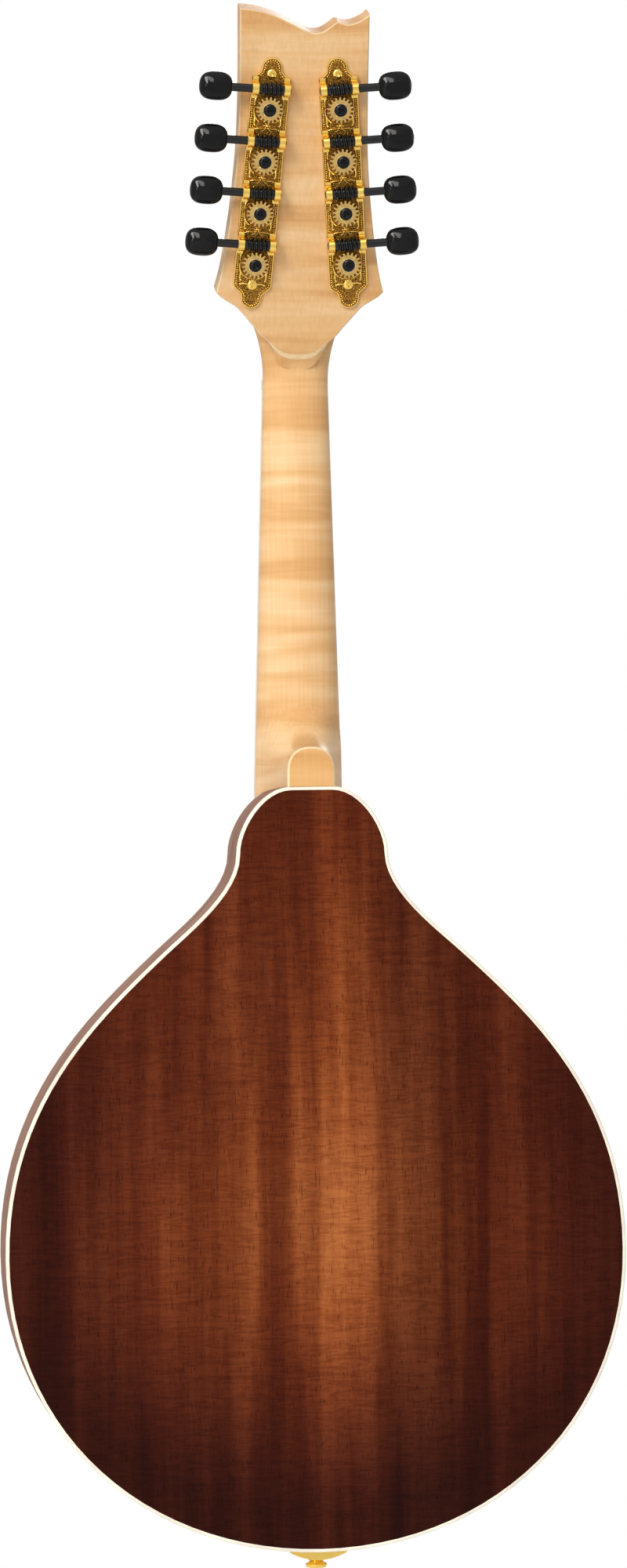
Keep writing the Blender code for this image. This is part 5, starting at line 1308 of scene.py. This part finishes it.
def make_fingerboard():
    strips, frets, dots = bmesh.new(), bmesh.new(), bmesh.new()
    low, high, chamfer = FIT, BOARD_FACE, EDGE_BREAK
    ends = (-FIT, -BOARD_LENGTH)
    for side in (-1.0, 1.0):
        rings = []
        for z in ends:
            outer, inner = side * neck_half_width(z), side * (neck_half_width(z) - BOARD_EDGING)
            bevel = outer - side * chamfer
            rings.append([(outer, low, z), (outer, high - chamfer, z), (bevel, high, z), (inner, high, z),
                          (inner, low, z)])
        add_loft(strips, rings)
    piece("board_binding", strips, NECK, CREAM)
    rings = []
    for z in ends:
        half = neck_half_width(z) - BOARD_EDGING
        rings.append([(-half, low, z), (half, low, z), (half, high - chamfer, z), (half - chamfer, high, z),
                      (chamfer - half, high, z), (-half, high - chamfer, z)])
    piece("fingerboard", loft("fingerboard", rings), NECK, BOARD_WOOD)
    for number in range(1, FRET_COUNT + 1):
        z = fret_place(number)
        half = neck_half_width(z) - 0.1 * MM
        rings = []
        for x, tall in ((-half, 0.35), (0.8 * MM - half, 1.0), (half - 0.8 * MM, 1.0), (half, 0.35)):
            ring = []
            for angle in [math.pi * i / 8 for i in range(9)]:
                rise = FRET_HEIGHT * tall * math.sin(angle)
                ring.append((x, high + rise, z + FRET_HALF_WIDTH * math.cos(angle)))
            rings.append(ring + [(x, high - 0.3 * MM, z)])
        add_loft(frets, rings)
    piece("frets", frets, NECK, FRET_METAL)
    profile = rod(DOT_RADIUS, -0.5 * MM, 0.02 * MM) + [(0.0, 0.05 * MM)]
    for number, x in DOTS:
        z = (fret_place(number) + fret_place(number - 1)) / 2
        add_lathe(dots, profile, 24, shift(x, high, z) @ ALONG_Y)
    piece("position_dots", dots, NECK, PEARL)


def string_layout():
    """Each string, bass to treble: its course, its x at the nut, bridge and hooks, and its post."""
    posts = {(label, k): (x, v) for label, _, k, x, v in post_places()}
    order = [("right", k) for k in reversed(range(POST_COUNT))] + [("left", k) for k in range(POST_COUNT)]
    for number, key in enumerate(order):
        course, twin = divmod(number, 2)
        lean = 0.5 - twin
        at_nut = (1.5 - course) * COURSE_SPACING_AT_NUT + lean * PAIR_SPACING_AT_NUT
        at_bridge = (1.5 - course) * COURSE_SPACING_AT_BRIDGE + lean * PAIR_SPACING_AT_BRIDGE
        yield course, at_nut, at_bridge, hook_across(number), posts[key]


def drift_over_nut(at_nut, post):
    return (post[0] - at_nut) / post[1] * NUT_LENGTH


def make_nut():
    half, far, soft = NUT_HALF_WIDTH, NUT_LENGTH - FIT, 0.25 * MM
    floor = STRING_FLOOR_AT_NUT
    roof = floor + NUT_SLOT_DEPTH
    side = [
        (0.0, FIT), (far, FIT), (far, roof - 1.6 * MM), (far * 0.8, roof - 0.9 * MM),
        (far * 0.55, roof - 0.25 * MM), (far * 0.25, roof - 0.03 * MM), (0.15 * MM, roof),
        (0.0, roof - 0.15 * MM),
    ]
    rings = []
    for x, shrink in ((-half, soft), (soft - half, 0.0), (half - soft, 0.0), (half, soft)):
        rings.append([(x, min(y, roof - shrink), z) for z, y in side])
    slots = bmesh.new()
    for course, at_nut, _, _, post in string_layout():
        radius = STRING_RADII[course] + 0.05 * MM
        rear = at_nut + drift_over_nut(at_nut, post)
        rows = []
        for z, x, y in ((-1 * MM, at_nut, floor), (NUT_LENGTH + 1 * MM, rear, floor - STRING_FALL_OVER_NUT)):
            arc = [polar(radius, math.pi + math.pi * i / 6) for i in range(7)]
            row = [(x + across, y + radius + rise, z) for across, rise in arc]
            rows.append(row + [(x + radius, roof + 1 * MM, z), (x - radius, roof + 1 * MM, z)])
        add_loft(slots, rows)
    piece("nut", carve(loft("nut", rings), ("DIFFERENCE", finish_mesh("nut_slots", slots))), NECK, BONE)


def string_path(radius, at_nut, at_bridge, at_hook, post):
    """The corners of a string: its hook, the saddle, the nut's front and rear, and its post."""
    depth, height = bridge_point()
    floor = STRING_FLOOR_AT_NUT + radius
    winding = VENEER_FACE + BUSHING_HEIGHT + WINDING_START + WINDING_HEIGHT / 2
    reach = WINDING_RADIUS + radius + FIT * 0.2
    hook = (at_hook, TAILPIECE_METAL + FIT * 2 + radius, HOOK_PLACE + HOOK_WIDTH + FIT)
    rear = (at_nut + drift_over_nut(at_nut, post), floor - STRING_FALL_OVER_NUT, NUT_LENGTH)
    return [
        TAIL_IN_BODY @ Vector(hook),
        Vector((at_bridge, depth + radius, height)),
        NECK_IN_BODY @ Vector((at_nut, floor, 0.0)),
        NECK_IN_BODY @ Vector(rear),
        HEAD_IN_BODY @ Vector((post[0] - math.copysign(reach, post[0]), winding, post[1])),
    ]


def make_strings():
    for number, (course, *way) in enumerate(string_layout()):
        radius = STRING_RADII[course]
        corners = string_path(radius, *way)
        build = bmesh.new()
        if course < WOUND_COURSES:
            points = []
            for a, b in zip(corners, corners[1:]):
                count = max(2, int((b - a).length / WOUND_RIDGE))
                points += [a.lerp(b, i / count) for i in range(count)]
            points.append(corners[-1])
            add_tube(build, points, [radius * (1.0 if i % 2 else 0.88) for i in range(len(points))], 6)
        else:
            add_tube(build, corners, radius, 10)
        piece(f"string_{number + 1}", build, BODY, string_metal(course), crease=60)


# Bridge

def base_roof(x, sag):
    middle = math.cos(math.pi / 2 * x / BASE_HALF_LENGTH) ** 0.7 if abs(x) < BASE_HALF_LENGTH else 0.0
    return sag * (1 - middle) + between(BASE_END, BASE_TOP, middle)


def base_mesh(height):
    """The bridge base, whose underside follows the soundboard."""
    rings = []
    steps, width, soft = 44, BASE_WIDTH / 2, 0.5 * MM
    for i in range(steps + 1):
        x = -BASE_HALF_LENGTH + 2 * BASE_HALF_LENGTH * i / steps
        under = [(x, top_sag(x, height + z) + FIT * 0.3, z) for z in [width * (1 - j / 2) for j in range(5)]]
        top = base_roof(x, top_sag(x, height))
        narrow = width * (1.0 - 0.25 * (x / BASE_HALF_LENGTH) ** 2) * 0.7
        over = [(x, top - soft, -narrow - soft * 0.6), (x, top, -narrow + soft)]
        rings.append(under + over + [(x, y, -z) for x, y, z in reversed(over)])
    return loft("bridge_base", rings)


def wheel_mesh():
    """A thumbwheel with a knurled edge, about Z."""
    low, high, edge, bore = -WHEEL_THICKNESS / 2, WHEEL_THICKNESS / 2, WHEEL_RADIUS, STUD_RADIUS + 0.1 * MM
    profile = ((bore, low), (edge - 0.5 * MM, low), (edge, low + EDGE_BREAK), (edge, high - EDGE_BREAK),
               (edge - 0.5 * MM, high), (bore, high))
    rings = []
    for radius, level in profile:
        ring = []
        for i in range(WHEEL_KNURLS * 2):
            reach = radius - (0.25 * MM if i % 2 and radius == edge else 0.0)
            ring.append((*polar(reach, math.pi * i / WHEEL_KNURLS), level))
        rings.append(ring)
    return loft("wheel", rings, closed=True)


def saddle_mesh(floor, roof):
    """The saddle: level underneath, with a thin stepped crest for the strings, and low at its two ends."""
    places = [(-1.0, 0.0), (-0.9, 0.04), (-0.8, 0.14), (-0.72, 0.35), (-0.66, 0.72), (-0.6, 0.96)]
    places.append((-0.56, 1.0))
    places += [(-x, tall) for x, tall in reversed(places)]
    half, soft = SADDLE_HALF_WIDTH, EDGE_BREAK
    low_top = floor + SADDLE_LOW_HEIGHT
    rings = []
    for along, tall in places:
        x = along * SADDLE_HALF_LENGTH
        top, thin = between(low_top, roof, tall), between(half, CREST_HALF_WIDTH, tall)
        near = [(x, floor, -half + soft), (x, floor + soft, -half), (x, low_top - 1 * MM, -half),
                (x, top - soft, -thin), (x, top, -thin + soft)]
        rings.append(near + [(x, y, -z) for x, y, z in reversed(near)])
    sockets = bmesh.new()
    for x in (-STUD_SPACING / 2, STUD_SPACING / 2):
        socket = rod(STUD_RADIUS + FIT, floor - 1 * MM, floor + STUD_SOCKET_DEPTH)
        add_lathe(sockets, socket, 20, shift(x, 0, 0) @ ALONG_Y)
    return carve(loft("saddle", rings), ("DIFFERENCE", finish_mesh("sockets", sockets)))


def make_bridge():
    string_floor, height = bridge_point()
    place = BODY @ shift(0, TOP_FACE + TOP_RISE, height)
    saddle_floor = BASE_TOP + SADDLE_TRAVEL + WHEEL_THICKNESS + 3 * FIT
    saddle_roof = string_floor - (TOP_FACE + TOP_RISE) - FIT * 0.1
    low = base_roof(STUD_SPACING / 2, top_sag(STUD_SPACING / 2, height)) - 1 * MM
    high = saddle_floor + STUD_SOCKET_DEPTH - 2 * FIT - SADDLE_TRAVEL
    count = int((high - low) / STUD_PITCH)
    profile = [(STUD_RADIUS, low)]
    for i in range(count):
        z = low + (high - low) * (i + 0.5) / count
        profile += [(STUD_RADIUS - 0.18 * MM, z - 0.12 * MM), (STUD_RADIUS, z + 0.12 * MM)]
    profile.append((STUD_RADIUS - 0.2 * MM, high))
    studs = bmesh.new()
    for x in (-STUD_SPACING / 2, STUD_SPACING / 2):
        add_lathe(studs, profile, 20, shift(x, 0, 0) @ ALONG_Y)
    piece("bridge_base", base_mesh(height), place, BRIDGE_WOOD)
    piece("bridge_studs", studs, place, BRIGHT_BRASS)
    piece("bridge_saddle", saddle_mesh(saddle_floor, saddle_roof), place, BRIDGE_WOOD, body="saddle")
    wheel = wheel_mesh()
    for label, side in (("bass", 1.0), ("treble", -1.0)):
        middle = shift(side * STUD_SPACING / 2, saddle_floor - FIT - WHEEL_THICKNESS / 2, 0)
        piece(f"bridge_wheel_{label}", wheel, place @ middle @ ALONG_Y, BRIGHT_BRASS,
              body=f"wheel_{label}", crease=25)


# Tailpiece and end pin

def make_tailpiece():
    metal, half, neck = TAILPIECE_METAL, TAILPIECE_HALF_WIDTH, TAILPIECE_LEG_HALF_WIDTH
    leg_top = TOP_FACE + FIT + metal
    soft, chamfer = 0.25 * MM, 0.2 * MM
    low = leg_top - TAILPIECE_LEG_LENGTH
    rings = []
    for depth, shrink in ((leg_top, 0.0), (low + soft, 0.0), (low, soft)):
        ring = [(neck - shrink, depth, -FIT), (shrink - neck, depth, -FIT)]
        for across in [2 * i / 32 - 1 for i in range(33)]:
            swell = between(metal, TAILPIECE_SWELL, 1 - across**2) - shrink
            ring.append(((neck - shrink) * across, depth, -FIT - swell))
        rings.append(ring)
    leg = loft("tailpiece", rings)
    flare = bezier((neck, 4 * MM), (neck, 10 * MM), (half, 8 * MM), (half, 14 * MM), 14)
    length = TAILPIECE_LENGTH
    leaving, arriving = (half, length - 2 * MM), (half - 2 * MM, length)
    corner = bezier((half, length - 6 * MM), leaving, arriving, (half - 5 * MM, length), 8)
    outline = mirrored([(neck, -FIT - metal)] + flare + corner)
    rings = [lift(outline, 0.0), lift(outline, metal - chamfer), lift(inset(outline, chamfer), metal)]
    sheet = loft("sheet", [[TAIL_IN_BODY @ Vector(p) for p in ring] for ring in rings])
    hole = lathe("pin_hole", rod(PIN_SHANK_RADIUS + FIT * 0.5, -8 * MM, 4 * MM), 28, shift(0, PIN_HEIGHT, 0))
    piece("tailpiece", carve(leg, ("UNION", sheet), ("DIFFERENCE", hole)), BODY, GOLD, crease=30)
    hooks = bmesh.new()
    bend = ((-0.6, 0.9), (1.6, 0.8), (2.4, 0.6), (2.85, 0.0), (2.9, -1.2), (2.5, -2.2))
    for number in range(STRING_COUNT):
        x = hook_across(number)
        path = [(x, metal + rise * MM, HOOK_PLACE + ahead * MM) for rise, ahead in bend]
        add_tube(hooks, path, HOOK_WIRE_RADIUS, 10)
    piece("tailpiece_hooks", hooks, TAIL, GOLD)


def cover_groove(along, across):
    """The stamping, as a share of its depth: a sunk line round the cover, and a panel round a raised oval."""
    end, side = min(along, 1 - along), abs(across)

    def inside(end_margin, side_reach):
        return min((end - end_margin) / 0.02, (side_reach - side) / 0.04)

    line = min(inside(0.05, 0.84), -inside(0.085, 0.77))
    oval = (math.hypot((along - 0.5) / 0.24, across / 0.4) - 1.0) / 0.09
    return max(0.0, min(1.0, 0.5 + max(line, min(inside(0.13, 0.69), oval))))


def cover_section(along, shrink):
    """The cover's outline at one place along it, and the stamping at each point of that outline."""
    half = COVER_HALF_WIDTH * (0.78 + 0.22 * math.sin(math.pi * min(1.0, along * 1.4) / 2)) - shrink
    rise = between(COVER_TAIL_HEIGHT, COVER_FRONT_HEIGHT, min(1.0, along * 1.3) ** 0.8) - shrink
    ring, depths = [], []
    for i in range(COVER_COLUMNS + 1):
        spread = math.sin(math.pi / 2 * (1 - 2 * i / COVER_COLUMNS))
        level = max(0.0, 1 - abs(spread) ** (2 / 0.7)) ** 0.25
        depths.append(cover_groove(along, spread) if shrink < COVER_METAL else 0.0)
        height = TAILPIECE_METAL + FIT + rise * level - depths[-1] * COVER_STAMPING
        ring.append((half * spread, height, -COVER_OVERHANG + COVER_LENGTH * along))
    return ring, depths


def make_cover():
    rings, values = [], []
    for i in range(COVER_ROWS + 1):
        lip = 0.15 * MM if i in (0, COVER_ROWS) else 0.0
        outer, depths = cover_section(i / COVER_ROWS, lip)
        inner, plain = cover_section(i / COVER_ROWS, COVER_METAL)
        rings.append(outer + inner[::-1])
        values += depths + plain
    data = loft("cover", rings)
    data.attributes.new("ground", "FLOAT", "POINT").data.foreach_set("value", values)
    piece("tailpiece_cover", data, TAIL, STAMPED_GOLD, body="cover")


def make_end_pin():
    seat = -2 * FIT - TAILPIECE_SWELL
    face = seat - PIN_LENGTH
    head = PIN_HEAD_RADIUS
    profile = [
        (0.0, 15 * MM), (PIN_SHANK_RADIUS, 14 * MM), (PIN_SHANK_RADIUS, seat), (4.0 * MM, seat),
        (4.0 * MM, seat - 0.5 * MM), (3.3 * MM, seat - 0.9 * MM), (3.0 * MM, seat - 1.3 * MM),
        (3.4 * MM, seat - 1.8 * MM), (head - 0.3 * MM, face + 2.1 * MM), (head, face + 1.7 * MM),
        (head, face + 0.9 * MM), (head - 0.4 * MM, face + 0.3 * MM), (3.6 * MM, face + 0.05 * MM),
        (0.0, face),
    ]
    piece("end_pin", lathe("end_pin", profile, 40, shift(0, PIN_HEIGHT, 0)), BODY, GOLD)


# Camera, light and floor

def make_camera():
    data = bpy.data.cameras.new("camera")
    data.sensor_width = 36.0
    data.lens = FOCAL_PIXELS / FRAME_HEIGHT * data.sensor_width
    camera = bpy.data.objects.new("camera", data)
    bpy.context.scene.collection.objects.link(camera)
    view = turn(CAMERA_YAW, "Z") @ turn(CAMERA_PITCH, "X") @ turn(CAMERA_ROLL, "Y") @ AGAINST_Y
    camera.matrix_world = Matrix.Translation(CAMERA_PLACE) @ view
    bpy.context.scene.camera = camera


def make_lamps():
    for name, (place, target, size, watts, colour) in LAMPS.items():
        data = bpy.data.lights.new(name, "AREA")
        data.shape = "RECTANGLE"
        data.size, data.size_y = size
        data.energy = watts
        data.color = colour
        lamp = bpy.data.objects.new(name, data)
        bpy.context.scene.collection.objects.link(lamp)
        lamp.location = place
        lamp.rotation_euler = (Vector(target) - Vector(place)).to_track_quat("-Z", "Y").to_euler()


def make_floor():
    half = FLOOR_HALF
    build = bmesh.new()
    corners = ((-half, -half), (half, -half), (half, half), (-half, half))
    build.faces.new([build.verts.new((x, y, FLOOR_LEVEL)) for x, y in corners])
    floor = bpy.data.objects.new("floor", finish_mesh("floor", build))
    bpy.context.scene.collection.objects.link(floor)
    floor.data.materials.append(new_material("floor", Base_Color=(0.92, 0.92, 0.92, 1.0), Roughness=0.8))


def make_world():
    """A soft sky that lights the instrument, and a white room for the camera and for reflections."""
    world = bpy.data.worlds.new("room")
    bpy.context.scene.world = world
    world.use_nodes = True
    nodes = world.node_tree.nodes
    soft = nodes["Background"]
    soft.inputs["Color"].default_value = (0.97, 0.98, 1.0, 1.0)
    soft.inputs["Strength"].default_value = SKY_STRENGTH
    rays = add_node(world, "ShaderNodeLightPath").outputs
    where = add_node(world, "ShaderNodeTexCoord").outputs["Generated"]
    height = add_node(world, "ShaderNodeSeparateXYZ", {0: where}).outputs["Z"]
    level = span(world, height, 0.3, 0.85, 0.7, 1.0, "LINEAR")
    strength = calculate(world, level, rays["Is Camera Ray"], "MAXIMUM")
    plain = add_node(world, "ShaderNodeBackground", {"Color": (1.0, 1.0, 1.0, 1.0), "Strength": strength})
    seen = rays["Is Camera Ray"]
    for kind in ("Is Glossy Ray", "Is Transmission Ray"):
        seen = calculate(world, seen, rays[kind], "ADD", True)
    choice = add_node(world, "ShaderNodeMixShader", {0: seen, 1: soft.outputs[0], 2: plain.outputs[0]})
    world.node_tree.links.new(choice.outputs[0], nodes["World Output"].inputs["Surface"])


for make in (
    make_body, make_neck, make_veneer, make_tuners, make_fingerboard, make_nut, make_strings, make_bridge,
    make_tailpiece, make_cover, make_end_pin, make_camera, make_floor, make_world, make_lamps,
):
    make()
bpy.context.scene.view_settings.view_transform = "Standard"
